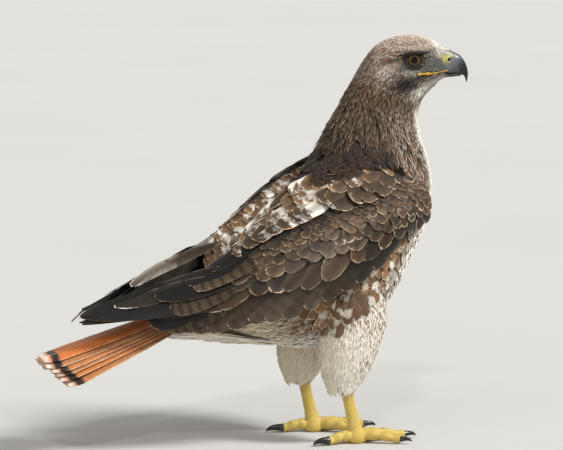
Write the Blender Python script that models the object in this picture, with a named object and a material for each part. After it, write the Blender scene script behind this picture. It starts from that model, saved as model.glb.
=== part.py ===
"""A red-tailed hawk standing on the ground, life size, as a Blender script.

The bird faces +X and its back is up (+Z), so its right side is at -Y. The head is turned to
the right. Shapes are worked out in millimetres and written to the meshes in metres.
"""

import math

import bmesh
import bpy
import numpy as np

MM = 0.001
# Touching pieces keep this much air between them, in millimetres.
GAP = 0.3
# Moves the bird so that the middle of its box stands over the origin, in millimetres.
ORIGIN_SHIFT = (5.5, 0.0, 0.0)

# Body: rings round the spine, from the tail root to the cere, in the midplane of an unturned bird.
# Each row: back x, back z, front x, front z, half width, narrowing towards the back.
BODY_RINGS = np.array([
    (-51.0, 149.0, -42.0, 116.0, 22.0, 0.0),
    (-34.0, 167.0, -6.0, 101.0, 36.0, 0.12),
    (-10.0, 194.0, 40.0, 89.0, 47.0, 0.22),
    (16.0, 221.0, 89.0, 94.0, 55.0, 0.25),
    (38.0, 243.0, 124.0, 125.0, 57.0, 0.25),
    (52.0, 259.0, 149.0, 167.0, 55.0, 0.25),
    (61.0, 274.0, 167.0, 205.0, 50.0, 0.22),
    (68.0, 287.0, 172.0, 235.0, 44.0, 0.18),
    (74.0, 298.0, 169.0, 260.5, 38.0, 0.12),
    (83.0, 310.5, 162.0, 282.0, 33.5, 0.08),
    (89.0, 322.0, 159.0, 300.5, 30.0, 0.05),
    (97.0, 335.0, 161.0, 315.0, 28.0, 0.05),
    (104.0, 348.0, 165.0, 322.6, 26.5, 0.06),
    (112.0, 360.4, 171.0, 329.5, 25.5, 0.08),
    (122.0, 371.0, 176.0, 334.0, 25.0, 0.08),
    (135.0, 377.1, 178.5, 336.6, 24.5, 0.08),
    (149.0, 379.2, 180.5, 338.2, 23.5, 0.06),
    (162.5, 377.9, 182.5, 339.3, 20.0, 0.02),
    (174.0, 374.1, 184.5, 340.2, 15.0, 0.0),
    (181.0, 370.4, 186.0, 341.0, 10.5, 0.0),
])
TORSO_END = 7.6
NECK_END = 12.0
HEAD_END = 19.0
SECTION_POWER = 0.92
BODY_SIDES = 20
HEAD_SIDES = 24
# How far the body is grown where it cuts wings and thighs clear.
CUT_SPARE = 0.6
# Where the body's lengths have their rings.
TORSO_PLACES = np.linspace(0.0, TORSO_END, 13)
NECK_PLACES = np.linspace(TORSO_END + 0.02, NECK_END, 7)
HEAD_PLACES = np.linspace(NECK_END + 0.03, HEAD_END, 12)
# The neck twists the head towards the bird's right, about a vertical axis.
HEAD_TURN = math.radians(20.0)
TURN_AXIS_X = 124.0
TURN_STARTS = 7.0

# Bill, in the same unturned midplane. Rows: top x, top z, bottom x, bottom z, half width.
CERE_RINGS = np.array([
    (181.4, 370.1, 186.4, 344.3, 10.2),
    (187.0, 367.6, 187.0, 343.6, 9.3),
    (191.5, 365.3, 187.9, 343.6, 8.3),
])
BILL_RINGS = np.array([
    (191.8, 365.1, 188.2, 343.6, 8.2),
    (196.9, 362.3, 191.2, 343.4, 7.2),
    (200.6, 359.1, 194.8, 343.0, 6.0),
    (203.9, 354.0, 198.7, 342.6, 4.7),
    (205.8, 348.9, 201.6, 342.3, 3.5),
    (206.5, 344.6, 203.0, 341.3, 2.6),
    (206.3, 340.3, 203.9, 338.9, 1.6),
    (205.4, 335.9, 204.8, 335.6, 0.5),
])
MANDIBLE_RINGS = np.array([
    (186.7, 343.0, 186.7, 339.9, 6.4),
    (192.0, 342.8, 192.0, 340.1, 5.0),
    (197.0, 342.2, 197.0, 340.6, 3.0),
    (199.8, 341.9, 199.8, 341.2, 1.3),
])
EYE_CENTRE = (155.5, 13.6, 358.3)
EYE_RADIUS = 9.0
BROW_BACK = (134.0, 365.0)
BROW_FRONT = (178.0, 367.6)
BROW_RADIUS = 2.4
LID_RADIUS = 7.3
LID_THICKNESS = 1.1
SOCKET_RADIUS = 13.0
SOCKET_OFFSET = 16.0
NOSTRIL_CENTRE = (189.4, 0.0, 358.0)
NOSTRIL_RADIUS = 1.3
# From inside the cere to outside it, as distances from the midplane.
NOSTRIL_REACH = (5.5, 20.0)
MOUTH_CORNER = (160.1, 345.2)
MOUTH_FRONT = (189.0, 347.0)
MOUTH_DEPTH = 2.2
MOUTH_HEIGHT = 0.7

# Outer surface of the folded right wing: columns from wrist to rear, rows from the ridge of the
# back down to the lower edge. Each point: x, distance from the midplane, z.
WING_GRID = np.array([
    [(129, 42, 261), (140, 44, 248), (154, 45, 240), (158, 46, 225), (154, 48, 210), (137, 52, 192)],
    [(107, 42, 268), (113, 53, 245), (117, 64, 230), (115, 70, 213), (109, 70, 194), (95, 64, 169)],
    [(79, 40, 263), (81, 54, 235), (80, 68, 219), (75, 75, 200), (67, 75, 177), (53, 66, 145)],
    [(53, 35, 254), (48, 50, 228), (43, 65, 210), (35, 72, 188), (23, 72, 161), (9, 62, 128)],
    [(25, 30, 238), (16, 44, 214), (6, 57, 196), (-7, 64, 175), (-21, 64, 150), (-33, 56, 122)],
    [(-2, 25, 217), (-14, 36, 194), (-27, 46, 177), (-43, 52, 159), (-59, 53, 139), (-75, 47, 119)],
    [(-25, 20, 193), (-37, 27, 178), (-55, 35, 163), (-73, 40, 151), (-88, 41, 138), (-101, 37, 125)],
    [(-45, 15, 171), (-57, 19, 165), (-75, 24, 156), (-90, 28, 149), (-104, 29, 141), (-115, 28, 133)],
], float)
WING_THICKNESS = 12.0
CORE_RIM = 1.0
# The arm's solid core: column and share of the thickness there; row, share and depth under the surface.
CORE_COLUMNS = (
    (0.0, 0.2), (0.15, 0.75), (0.7, 1.0), (1.6, 1.0), (2.8, 1.0), (4.0, 0.9), (5.2, 0.7), (6.35, 0.12),
)
CORE_ROWS = (
    (0.0, 0.3, 0.6), (0.5, 0.9, 0.6), (1.5, 1.0, 0.6), (2.7, 1.0, 0.8), (3.3, 0.9, 2.8), (4.35, 0.1, 2.8),
)
# How much higher the left wing is carried than the right, by x.
LEFT_WING_LIFT = (
    (-179.0, -4.0), (-165.0, 4.0), (-130.0, 9.0), (-100.0, 13.0), (-60.0, 12.0), (0.0, 5.0), (60.0, 0.0),
)
# Tiers of feathers on the arm. Each gives for its first and last feather the column and row of the
# root, the tip's shift along the columns, the tip's row and the width, and then the lift over the
# surface at the root, a third of the way and the tip.
WING_TIERS = {
    "secondaries": (
        8, (0.9, 5.1), (3.5, 3.4), (0.2, 1.7), (4.93, 4.9), (29.4, 27.0), (-6.0, -3.1, -1.5)),
    "greater_coverts": (
        8, (0.9, 5.0), (2.95, 2.85), (0.1, 0.75), (4.1, 4.0), (28.0, 26.0), (-6.0, -0.6, 0.4)),
    "scapulars": (
        5, (0.9, 5.0), (0.7, 0.65), (0.7, 0.85), (1.35, 1.15), (29.0, 25.0), (-6.0, -0.2, 1.6)),
}
TIER_ROLL = 0.08
VANE_ROOT_SUNK = -6.0
# Tertials, which lie on top at the rear: root and tip in columns and rows of WING_GRID.
TERTIALS = (
    ((4.3, 2.9), (6.9, 4.7)),
    ((4.3, 2.4), (7.2, 3.9)),
    ((4.1, 1.9), (6.2, 3.0)),
    ((4.4, 1.2), (6.8, 2.1)),
)
TERTIAL_WIDTH = 23.0
TERTIAL_ROLL = 0.06
# Lift of the lowest tertial a third of the way and at the tip, and what each next one adds.
TERTIAL_LIFT = ((0.2, 0.7), (0.9, 0.8))
# Primaries, from the outermost inwards: tip x, distance from the midplane, z.
PRIMARY_TIPS = (
    (-164.0, 22.0, 127.5),
    (-175.8, 16.0, 123.8),
    (-176.9, 12.0, 124.9),
    (-170.0, 11.0, 128.3),
    (-143.4, 12.0, 138.5),
    (-122.4, 12.0, 145.1),
    (-110.7, 13.0, 149.8),
)
PRIMARY_ROOTS = ((-52.0, 47.0, 147.0), (-40.0, 40.0, 170.0))
PRIMARY_WIDTH = 21.0
PRIMARY_ROLL = 0.03
POINTED_PRIMARIES = 4
# The hand's feathers face sideways at the root and lie like a roof at the tip.
PRIMARY_FACING = ((0.1, -0.93, 0.36), (0.25, -0.36, 0.90))

# Tail: frame at its root, and how its feathers fan and droop.
TAIL_ROOT = (-40.0, 0.0, 141.0)
TAIL_SLOPE = math.radians(16.5)
TAIL_ROLL = math.radians(11.0)
TAIL_LENGTH = 180.0
TAIL_FEATHER_START = 20.0
# Each pair ends this much further in than the last one, by the square of its number.
TAIL_STEPS_IN = 0.35
TAIL_FIRST_TIP = 2.5
TAIL_ROOT_SPACING = 0.9
TAIL_FEATHER_WIDTH = 27.0
TAIL_PAIRS = 6
TAIL_TIP_SPACING = 5.2
TAIL_ROOF_RADIUS = 44.0
TAIL_LAYER = 0.95
# The flesh of the tail: distance behind the body's last ring, and size as a share of that ring.
TAIL_BASE = ((0.3, 1.0), (22.0, 0.8), (46.0, 0.45))
TAIL_BASE_DROP = 0.03
UPPER_COVERTS = 4
UPPER_COVERT_REACH = 13.0
UPPER_COVERT = {"start": 16.0, "length": 46.0, "width": 15.0, "rise": 3.0}
# Coverts under the tail, rows from the vent: x, count, length and z of the roots.
UNDERTAIL_ROWS = ((4.0, 3, 40.0, 103.0), (-20.0, 3, 42.0, 101.0), (-36.0, 2, 44.0, 104.0))
UNDERTAIL_WIDTH = 20.0
UNDERTAIL_SPREAD = 17.0
UNDERTAIL_SAG = 7.0

# Legs. Thigh rows: centre x, z, half length along x, half width; the left leg stands further back.
THIGH_RINGS = np.array([
    (84.0, 150.0, 27.0, 13.0),
    (84.0, 132.0, 31.0, 19.0),
    (84.0, 112.0, 31.5, 21.5),
    (81.0, 92.0, 29.0, 21.0),
    (77.0, 72.0, 24.5, 18.0),
    (74.0, 56.0, 17.0, 13.5),
])
LEG_SPREAD = 35.0
LEFT_LEG_SHIFT = -17.0
ANKLE = (74.0, 55.6)
FOOT_CENTRE = (88.0, 12.0)
SCUTE_HEIGHT = 0.55
SCUTES = 6
TARSUS_STATIONS = (0.0, 0.45, 0.8, 1.0)
TARSUS_RADII = (6.2, 4.6, 5.2, 6.6)
# How much deeper than wide the tarsus is, as shares of its radius.
TARSUS_OVAL = (1.12, 0.9)
SCUTE_HALF_HEIGHT = 2.6
SCUTE_SPREAD = math.radians(50.0)
# The foot's pad: height above the ground and radius.
PAD_RINGS = ((0.0, 7.5), (3.0, 9.4), (8.0, 8.6), (13.7, 6.4))
# Thigh hem: tiers of locks round the ankle.
HEM_TIERS = (7, 4)
HEM_LENGTH = 26.0
HEM_WIDTH = 14.0
HEM_SHARES = np.array([0.7, 1.0, 0.6, 0.12])
# Toes: heading in degrees from straight ahead (outwards positive), length, radius, claw length.
TOES = {
    "middle": (-4.0, 45.0, 4.6, 21.0),
    "inner": (-34.0, 34.0, 4.6, 24.0),
    "outer": (30.0, 38.0, 4.2, 18.0),
    "hind": (172.0, 27.0, 4.8, 26.0),
}
TOE_BUMPS = 3
TOE_HEIGHT = 5.6
TOE_ARCH = 2.2
CLAW_RADIUS = 3.3
CLAW_TIP_RADIUS = 0.4
CLAW_BEND = 1.45


def unit(vectors):
    """The vectors at length one."""
    vectors = np.asarray(vectors, float)
    return vectors / np.maximum(np.linalg.norm(vectors, axis=-1, keepdims=True), 1e-9)


def spline(rows, place):
    """A smooth curve through the rows, read at place, which counts rows from zero; straight past its ends."""
    rows = np.asarray(rows, float)
    place = np.asarray(place, float)
    inside = np.clip(place, 0.0, len(rows) - 1.0)
    first = np.minimum(inside.astype(int), len(rows) - 2)
    shape = place.shape + (1,) * (rows.ndim - 1)
    t = (inside - first).reshape(shape)
    before = np.maximum(first - 1, 0)
    after = np.minimum(first + 2, len(rows) - 1)
    a, b, c, d = rows[before], rows[first], rows[first + 1], rows[after]
    curve = 0.5 * (2 * b + (c - a) * t + (2 * a - 5 * b + 4 * c - d) * t**2 + (3 * b - a - 3 * c + d) * t**3)
    return curve + (place - inside).reshape(shape) * (c - b)


def turned(points, angle):
    """Points turned about the neck's vertical axis, towards the bird's right."""
    x = points[..., 0] - TURN_AXIS_X
    y = points[..., 1]
    cos, sin = np.cos(angle), np.sin(angle)
    return np.stack([TURN_AXIS_X + x * cos + y * sin, y * cos - x * sin, points[..., 2]], axis=-1)


def on_head(x, y, z):
    """A place given on the unturned head, on the turned one."""
    return turned(np.array([x, y, z], float), HEAD_TURN)


def body_turn(place):
    """How far the spine is twisted at a ring."""
    t = np.clip((place - TURN_STARTS) / (NECK_END - TURN_STARTS), 0.0, 1.0)
    return HEAD_TURN * t * t * (3 - 2 * t)


def section(row, angles):
    """One ring, round from the back (angle 0) by the left side, from its back and front points."""
    back = np.array([row[0], 0.0, row[1]])
    front = np.array([row[2], 0.0, row[3]])
    narrowing = row[5] if len(row) > 5 else 0.0
    cos, sin = np.cos(angles), np.sin(angles)
    along = -np.sign(cos) * np.abs(cos) ** SECTION_POWER
    across = np.sign(sin) * np.abs(sin) ** SECTION_POWER * (1 - narrowing * (1 + cos) / 2)
    middle, half = (back + front) / 2, (front - back) / 2
    return middle + along[:, None] * half + np.outer(across * row[4], (0.0, 1.0, 0.0))


def body_ring(place, sides):
    """The body's ring at a place along the spine."""
    angles = np.arange(sides) * 2 * math.pi / sides
    ring = section(spline(BODY_RINGS, place), angles)
    return turned(ring, np.full(sides, body_turn(place)))


def lofted(rings):
    """Points and faces of a closed shape through rings of alike length, its ends closed by fans."""
    sides = len(rings[0])
    points = np.concatenate([*rings, [np.mean(rings[0], axis=0)], [np.mean(rings[-1], axis=0)]])
    faces = []
    for ring in range(len(rings) - 1):
        for side in range(sides):
            a, b = ring * sides + side, ring * sides + (side + 1) % sides
            faces += [(a, b, b + sides), (a, b + sides, a + sides)]
    first, last = len(rings) * sides, len(rings) * sides + 1
    top = (len(rings) - 1) * sides
    for side in range(sides):
        following = (side + 1) % sides
        faces.append((first, following, side))
        faces.append((last, top + side, top + following))
    return points, faces


def slab(upper, lower):
    """Points and faces between two grids of alike shape, split alike so that they can't cross."""
    rows, columns = upper.shape[:2]
    count = rows * columns
    points = np.concatenate([upper.reshape(-1, 3), lower.reshape(-1, 3)])
    faces = []
    for row in range(rows - 1):
        for column in range(columns - 1):
            a = row * columns + column
            b, c, d = a + 1, a + columns + 1, a + columns
            faces += [(a, b, c), (a, c, d)]
            faces += [(a + count, c + count, b + count), (a + count, d + count, c + count)]
    rim = [column for column in range(columns)]
    rim += [row * columns + columns - 1 for row in range(1, rows)]
    rim += [(rows - 1) * columns + column for column in range(columns - 2, -1, -1)]
    rim += [row * columns for row in range(rows - 2, 0, -1)]
    for a, b in zip(rim, rim[1:] + rim[:1]):
        faces += [(b, a, a + count), (b, a + count, b + count)]
    return points, faces


def new_mesh(name, points, faces):
    """A mesh object from points in millimetres, closed, triangulated and facing out."""
    mesh = bpy.data.meshes.new(name)
    mesh.from_pydata((np.asarray(points, float) + ORIGIN_SHIFT) * MM, [], faces)
    tool = bmesh.new()
    tool.from_mesh(mesh)
    bmesh.ops.remove_doubles(tool, verts=tool.verts, dist=1e-6)
    bmesh.ops.recalc_face_normals(tool, faces=tool.faces)
    if tool.calc_volume(signed=True) < 0:
        bmesh.ops.reverse_faces(tool, faces=tool.faces)
    tool.to_mesh(mesh)
    tool.free()
    piece = bpy.data.objects.new(name, mesh)
    bpy.context.scene.collection.objects.link(piece)
    return piece


def applied(piece):
    """The piece with its modifiers worked into its mesh."""
    bpy.context.view_layer.update()
    made = bpy.data.meshes.new_from_object(piece.evaluated_get(bpy.context.evaluated_depsgraph_get()))
    piece.modifiers.clear()
    piece.data = made
    return piece


def keep_largest(piece):
    """Drops every closed surface of the piece but the one round the most space."""
    tool = bmesh.new()
    tool.from_mesh(piece.data)
    unseen, islands = set(tool.faces), []
    while unseen:
        start = unseen.pop()
        island, edge = {start}, [start]
        while edge:
            for line in edge.pop().edges:
                for face in line.link_faces:
                    if face in unseen:
                        unseen.discard(face)
                        island.add(face)
                        edge.append(face)
        islands.append(island)
    if len(islands) > 1:
        def spread(island):
            corners = np.array([v.co for face in island for v in face.verts])
            return np.prod(np.ptp(corners, axis=0) + 1e-6)
        largest = max(islands, key=spread)
        rest = [face for island in islands if island is not largest for face in island]
        bmesh.ops.delete(tool, geom=rest, context="FACES")
        loose = [v for v in tool.verts if not v.link_faces]
        bmesh.ops.delete(tool, geom=loose, context="VERTS")
    tool.to_mesh(piece.data)
    tool.free()


def fused(base, extras):
    """The base and the extra pieces as one closed body."""
    if extras:
        group = bpy.data.collections.new("extras")
        for extra in extras:
            group.objects.link(extra)
        join = base.modifiers.new("join", "BOOLEAN")
        join.operation = "UNION"
        join.operand_type = "COLLECTION"
        join.collection = group
        join.solver = "MANIFOLD"
        applied(base)
        for extra in extras:
            bpy.data.objects.remove(extra)
        bpy.data.collections.remove(group)
    keep_largest(base)
    return base


def carved(piece, cutter, keep_cutter=False):
    """The piece less the cutter."""
    cut = piece.modifiers.new("cut", "BOOLEAN")
    cut.operation = "DIFFERENCE"
    cut.object = cutter
    cut.solver = "MANIFOLD"
    applied(piece)
    if not keep_cutter:
        bpy.data.objects.remove(cutter)
    keep_largest(piece)
    return piece


def finish(piece, colour, roughness, crease=40.0):
    """Gives a piece its material and shading."""
    material = bpy.data.materials.get(f"hawk_{colour}") or bpy.data.materials.new(f"hawk_{colour}")
    material.use_nodes = True
    shader = material.node_tree.nodes["Principled BSDF"]
    shader.inputs["Base Color"].default_value = (*COLOURS[colour], 1.0)
    shader.inputs["Roughness"].default_value = roughness
    shader.inputs["Metallic"].default_value = 0.0
    piece.data.materials.clear()
    piece.data.materials.append(material)
    piece.data.shade_smooth()
    piece.data.set_sharp_from_angle(angle=math.radians(crease))
    return piece


COLOURS = {
    "head_brown": (0.16, 0.10, 0.065),
    "neck_brown": (0.15, 0.095, 0.06),
    "breast_brown": (0.20, 0.13, 0.08),
    "wing_brown": (0.075, 0.05, 0.036),
    "tail_red": (0.42, 0.13, 0.035),
    "leg_white": (0.62, 0.56, 0.47),
    "skin_yellow": (0.62, 0.47, 0.12),
    "cere_yellow": (0.55, 0.56, 0.26),
    "horn_black": (0.022, 0.023, 0.03),
    "eye_brown": (0.10, 0.045, 0.015),
}


def body_length(name, places, sides, spare=0.0):
    """A closed length of the body with rings at these places, each ring grown outwards by spare."""
    loops = [body_ring(place, sides) for place in places]
    if spare:
        grown = []
        for loop in loops:
            centre = loop.mean(axis=0)
            radial = loop - centre
            grown.append(centre + radial * (1 + spare / np.linalg.norm(radial, axis=1, keepdims=True)))
        loops = grown
    points, faces = lofted(loops)
    return new_mesh(name, points, faces)


def wing_surface(u, v):
    """A place on the right wing's outer surface. u counts columns and v rows of WING_GRID."""
    rows = spline(WING_GRID, u)
    out = np.stack([spline(row, value) for row, value in zip(rows, np.atleast_1d(v))])
    return out * (1.0, -1.0, 1.0)


def wing_frame(u, v):
    """Places and outward normals on the right wing."""
    u, v = np.atleast_1d(u).astype(float), np.atleast_1d(v).astype(float)
    step = 0.05
    along_u = unit(wing_surface(u + step, v) - wing_surface(u - step, v))
    along_v = unit(wing_surface(u, v + step) - wing_surface(u, v - step))
    normal = unit(np.cross(along_u, along_v))
    normal *= np.where(normal[:, 1:2] > 0, -1.0, 1.0)
    return wing_surface(u, v), normal


# Where the stations of a vane lie along it, and its width at each, as shares.
VANE_STATIONS = np.array([0.0, 0.3, 0.85, 1.0])
LIFT_STATIONS = np.array([0.0, 0.3, 1.0])
VANE_THICKNESS = 0.6
ROUND_TIP = np.array([0.6, 1.0, 0.92, 0.3])
POINTED_TIP = np.array([0.55, 1.0, 0.55, 0.1])


def vane(middles, normals, width, shares, roll=0.0, thick=(0.9, 0.55)):
    """One feather's vane: a thin closed plate along middles, with its outer face along normals."""
    along = unit(np.gradient(middles, axis=0))
    sides = unit(np.cross(normals, along))
    normals = unit(np.cross(along, sides))
    half = (shares * width)[:, None] * np.array([[-0.5, 0.5]])
    raised = half * math.tan(roll)
    thickness = np.linspace(*thick, len(middles))[:, None, None]
    upper = middles[:, None] + half[..., None] * sides[:, None] + raised[..., None] * normals[:, None]
    lower = upper - normals[:, None] * thickness
    return upper, lower


def wing_shifted(u, v, shift):
    """The (u, v) that lie a short shift in millimetres from others, along the right wing's surface."""
    step = 0.02
    along_u = (wing_surface(u + step, v) - wing_surface(u - step, v)) / (2 * step)
    along_v = (wing_surface(u, v + step) - wing_surface(u, v - step)) / (2 * step)
    uu, vv = (along_u**2).sum(1), (along_v**2).sum(1)
    uv = (along_u * along_v).sum(1)
    su, sv = (along_u * shift).sum(1), (along_v * shift).sum(1)
    spread = uu * vv - uv * uv
    return u + (su * vv - sv * uv) / spread, v + (sv * uu - su * uv) / spread


def wing_vane(root, tip, width, lift, roll, shares=ROUND_TIP, stations=VANE_STATIONS):
    """A vane bedded on the wing's surface from root to tip, both (u, v), lifted in millimetres."""
    u = root[0] + (tip[0] - root[0]) * stations
    v = root[1] + (tip[1] - root[1]) * stations
    places, normals = wing_frame(u, v)
    sides = unit(np.cross(normals, unit(np.gradient(places, axis=0))))
    heights = np.interp(stations, LIFT_STATIONS, lift)
    upper, outward = [], []
    for column in (-0.5, 0.5):
        offset = column * width * shares
        shifted = wing_shifted(u, v, sides * offset[:, None])
        surface, normal = wing_frame(*shifted)
        upper.append(surface + normal * (heights + offset * math.tan(roll))[:, None])
        outward.append(normal)
    upper, outward = np.stack(upper, axis=1), np.stack(outward, axis=1)
    return upper, upper - outward * VANE_THICKNESS


def mirrored(points, side):
    """Points of the right side as they lie on the given side, -1 for right and 1 for left."""
    return points * (1.0, -float(side), 1.0)


def raised_tip(points, side):
    """The left wing's rear end is carried higher than the right one's."""
    if side < 0:
        return points
    places, heights = np.array(LEFT_WING_LIFT).T
    lift = np.interp(points[..., 0], places, heights)
    return points + lift[..., None] * (0.0, 0.0, 1.0)


def wing_vanes():
    """Scapulars, coverts, secondaries and tertials of the right wing, each a pair of grids."""
    vanes = []
    for count, columns, rows, shifts, tip_rows, widths, lift in WING_TIERS.values():
        for share in np.linspace(0.0, 1.0, count):
            u, v, shift, tip_v, width = (
                pair[0] + (pair[1] - pair[0]) * share for pair in (columns, rows, shifts, tip_rows, widths))
            vanes.append(wing_vane((u, v), (u + shift, tip_v), width, lift, TIER_ROLL))
    for index, (root, tip) in enumerate(TERTIALS):
        lift = (VANE_ROOT_SUNK, *(first + step * index for first, step in TERTIAL_LIFT))
        vanes.append(wing_vane(root, tip, TERTIAL_WIDTH, lift, TERTIAL_ROLL))
    return vanes


def primary_vanes():
    """The long feathers of the hand, from under the secondaries to the wing's tip."""
    vanes = []
    stations = VANE_STATIONS[:, None]
    for index, tip in enumerate(PRIMARY_TIPS):
        share = index / (len(PRIMARY_TIPS) - 1)
        root = np.array(PRIMARY_ROOTS[0]) * (1 - share) + np.array(PRIMARY_ROOTS[1]) * share
        middles = (root + (np.array(tip) - root) * stations) * (1.0, -1.0, 1.0)
        facing = np.array(PRIMARY_FACING[0]) * (1 - stations) + np.array(PRIMARY_FACING[1]) * stations
        normals = unit(facing)
        shares = POINTED_TIP if index < POINTED_PRIMARIES else ROUND_TIP
        vanes.append(vane(middles, normals, PRIMARY_WIDTH, shares, PRIMARY_ROLL, thick=(0.7, 0.5)))
    return vanes


def wing_core(side):
    """The arm and the bedded coverts: a lens whose outer face lies just under the wing's surface."""
    u, full_u = np.array(CORE_COLUMNS).T
    v, full_v, depth = np.array(CORE_ROWS).T
    grid_u, grid_v = np.meshgrid(u, v, indexing="ij")
    places, normals = wing_frame(grid_u.ravel(), grid_v.ravel())
    places = places.reshape(len(u), len(v), 3)
    normals = normals.reshape(len(u), len(v), 3)
    outer = places - normals * depth[None, :, None]
    full = np.outer(full_u, full_v)[..., None]
    inner = outer - normals * (CORE_RIM + full * WING_THICKNESS)
    return slab(raised_tip(mirrored(outer, side), side), raised_tip(mirrored(inner, side), side))


def build_wing(side, body_cutter):
    """One folded wing with its scapulars, coverts, secondaries, tertials and primaries."""
    name = "wing_right" if side < 0 else "wing_left"
    core = new_mesh(name, *wing_core(side))
    extras = []
    for index, (upper, lower) in enumerate(wing_vanes() + primary_vanes()):
        upper = raised_tip(mirrored(upper, side), side)
        lower = raised_tip(mirrored(lower, side), side)
        extras.append(new_mesh(f"vane_{index}", *slab(upper, lower)))
    fused(core, extras)
    carved(core, body_cutter, keep_cutter=True)
    return finish(core, "wing_brown", 0.7, 30.0)


def tail_place(distance, lateral, height):
    """A place in the tail's own frame: along it, to its left and above its top surface."""
    droop = lateral**2 / (2 * TAIL_ROOF_RADIUS)
    cos, sin = math.cos(TAIL_ROLL), math.sin(TAIL_ROLL)
    y = lateral * cos - (height - droop) * sin
    up = lateral * sin + (height - droop) * cos
    x = TAIL_ROOT[0] - distance * math.cos(TAIL_SLOPE) - up * math.sin(TAIL_SLOPE)
    z = TAIL_ROOT[2] - distance * math.sin(TAIL_SLOPE) + up * math.cos(TAIL_SLOPE)
    return np.stack(np.broadcast_arrays(x, y, z), axis=-1)


def tail_vane(root_lateral, tip_lateral, start, length, width, level, shares, rise=0.0):
    """One vane that lies along the tail's curved surface, some way below or above it."""
    stations = VANE_STATIONS
    places = np.linspace(-0.5, 0.5, 3)
    lateral = (root_lateral + (tip_lateral - root_lateral) * stations)[:, None]
    lateral = lateral + (shares * width)[:, None] * places[None, :]
    distance = (start + length * stations)[:, None] * np.ones((1, 3))
    height = level + rise * stations[:, None] * np.ones((1, 3))
    upper = tail_place(distance, lateral, height)
    lower = tail_place(distance, lateral, height - np.linspace(0.75, 0.55, len(stations))[:, None])
    return upper, lower


def build_tail():
    """Twelve tail feathers in their stack, with the coverts over their roots, on the tail's root."""
    root_ring = body_ring(0.0, 16)
    back = unit(np.cross(root_ring[4] - root_ring[0], root_ring[8] - root_ring[0]))
    back *= -np.sign(back[0])
    centre = root_ring.mean(axis=0)
    rings = []
    for distance, size in TAIL_BASE:
        drop = np.array([0.0, 0.0, -TAIL_BASE_DROP * distance])
        rings.append(centre + (root_ring - centre) * size + back * distance + drop)
    base = new_mesh("tail", *lofted(rings))
    extras = []
    square = np.array([0.5, 0.9, 1.0, 0.5])
    for pair in range(TAIL_PAIRS):
        for hand in (-1, 1):
            level = -TAIL_LAYER * (2 * pair + (hand > 0))
            tip = hand * (TAIL_FIRST_TIP + pair * TAIL_TIP_SPACING)
            root = hand * TAIL_ROOT_SPACING * (pair + 0.67)
            length = TAIL_LENGTH - TAIL_FEATHER_START - TAIL_STEPS_IN * pair**2
            grids = tail_vane(root, tip, TAIL_FEATHER_START, length, TAIL_FEATHER_WIDTH, level, square)
            extras.append(new_mesh(f"rectrix_{pair}_{hand}", *slab(*grids)))
    for index, lateral in enumerate(np.linspace(-UPPER_COVERT_REACH, UPPER_COVERT_REACH, UPPER_COVERTS)):
        level = 0.5 * (index % 2) - 1.3
        grids = tail_vane(0.6 * lateral, lateral, level=level, shares=ROUND_TIP, **UPPER_COVERT)
        extras.append(new_mesh(f"upper_covert_{index}", *slab(*grids)))
    fused(base, extras)
    return finish(base, "tail_red", 0.6, 30.0)


def underside_vanes():
    """The long loose coverts under the tail, which grow from the vent."""
    grids = []
    stations = VANE_STATIONS
    for row, (x, count, length, z) in enumerate(UNDERTAIL_ROWS):
        spread = UNDERTAIL_SPREAD - 3.0 * row
        for share in np.linspace(-1.0, 1.0, count):
            middles = np.stack([
                x - length * stations,
                share * spread * (1.0 - 0.35 * stations),
                z - UNDERTAIL_SAG * stations + 5.0 * share**2 + 2.5 * stations**2 * row,
            ], axis=-1)
            normals = np.tile(unit([0.0, share * 0.55, -1.0]), (len(stations), 1))
            grids.append(vane(middles, normals, UNDERTAIL_WIDTH, ROUND_TIP, 0.06, thick=(1.6, 0.6)))
    return grids


def build_torso():
    """The trunk from the tail's root to the base of the neck, with the coverts under the tail."""
    torso = body_length("torso", TORSO_PLACES, BODY_SIDES)
    extras = [new_mesh(f"under_{index}", *slab(*grids)) for index, grids in enumerate(underside_vanes())]
    fused(torso, extras)
    return finish(torso, "breast_brown", 0.85)


def build_neck():
    """The neck, which twists from the breast to the turned head."""
    neck = body_length("neck", NECK_PLACES, BODY_SIDES)
    return finish(neck, "neck_brown", 0.85)


def sphere(name, centre, radius, rings=7, sides=12):
    """A ball whose poles point left and right of the head."""
    loops = []
    for index in range(1, rings):
        polar = math.pi * index / rings
        ring = []
        for side in range(sides):
            turn = 2 * math.pi * side / sides
            ring.append((
                radius * math.sin(polar) * math.cos(turn),
                radius * math.cos(polar),
                radius * math.sin(polar) * math.sin(turn),
            ))
        loops.append(np.array(ring))
    points, faces = lofted(loops)
    points[-2] = (0.0, radius, 0.0)
    points[-1] = (0.0, -radius, 0.0)
    return new_mesh(name, turned(points + centre, HEAD_TURN), faces)


def lid_ring(side, around=12, tube_sides=5):
    """The rim of the lids round one eye."""
    centre = np.array(EYE_CENTRE) * (1.0, side, 1.0)
    out = side * math.sqrt(EYE_RADIUS**2 - LID_RADIUS**2)
    points, faces = [], []
    for step in range(around):
        turn = 2 * math.pi * step / around
        following = (step + 1) % around
        for corner in range(tube_sides):
            small = 2 * math.pi * corner / tube_sides
            reach = LID_RADIUS + 0.8 * LID_THICKNESS + LID_THICKNESS * math.cos(small)
            rise = out + side * LID_THICKNESS * math.sin(small)
            points.append(centre + (reach * math.cos(turn), rise, reach * math.sin(turn)))
            a, b = step * tube_sides + corner, step * tube_sides + (corner + 1) % tube_sides
            c, d = following * tube_sides + (corner + 1) % tube_sides, following * tube_sides + corner
            faces += [(a, b, c), (a, c, d)]
    return new_mesh("lid", turned(np.array(points), HEAD_TURN), faces)


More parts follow.
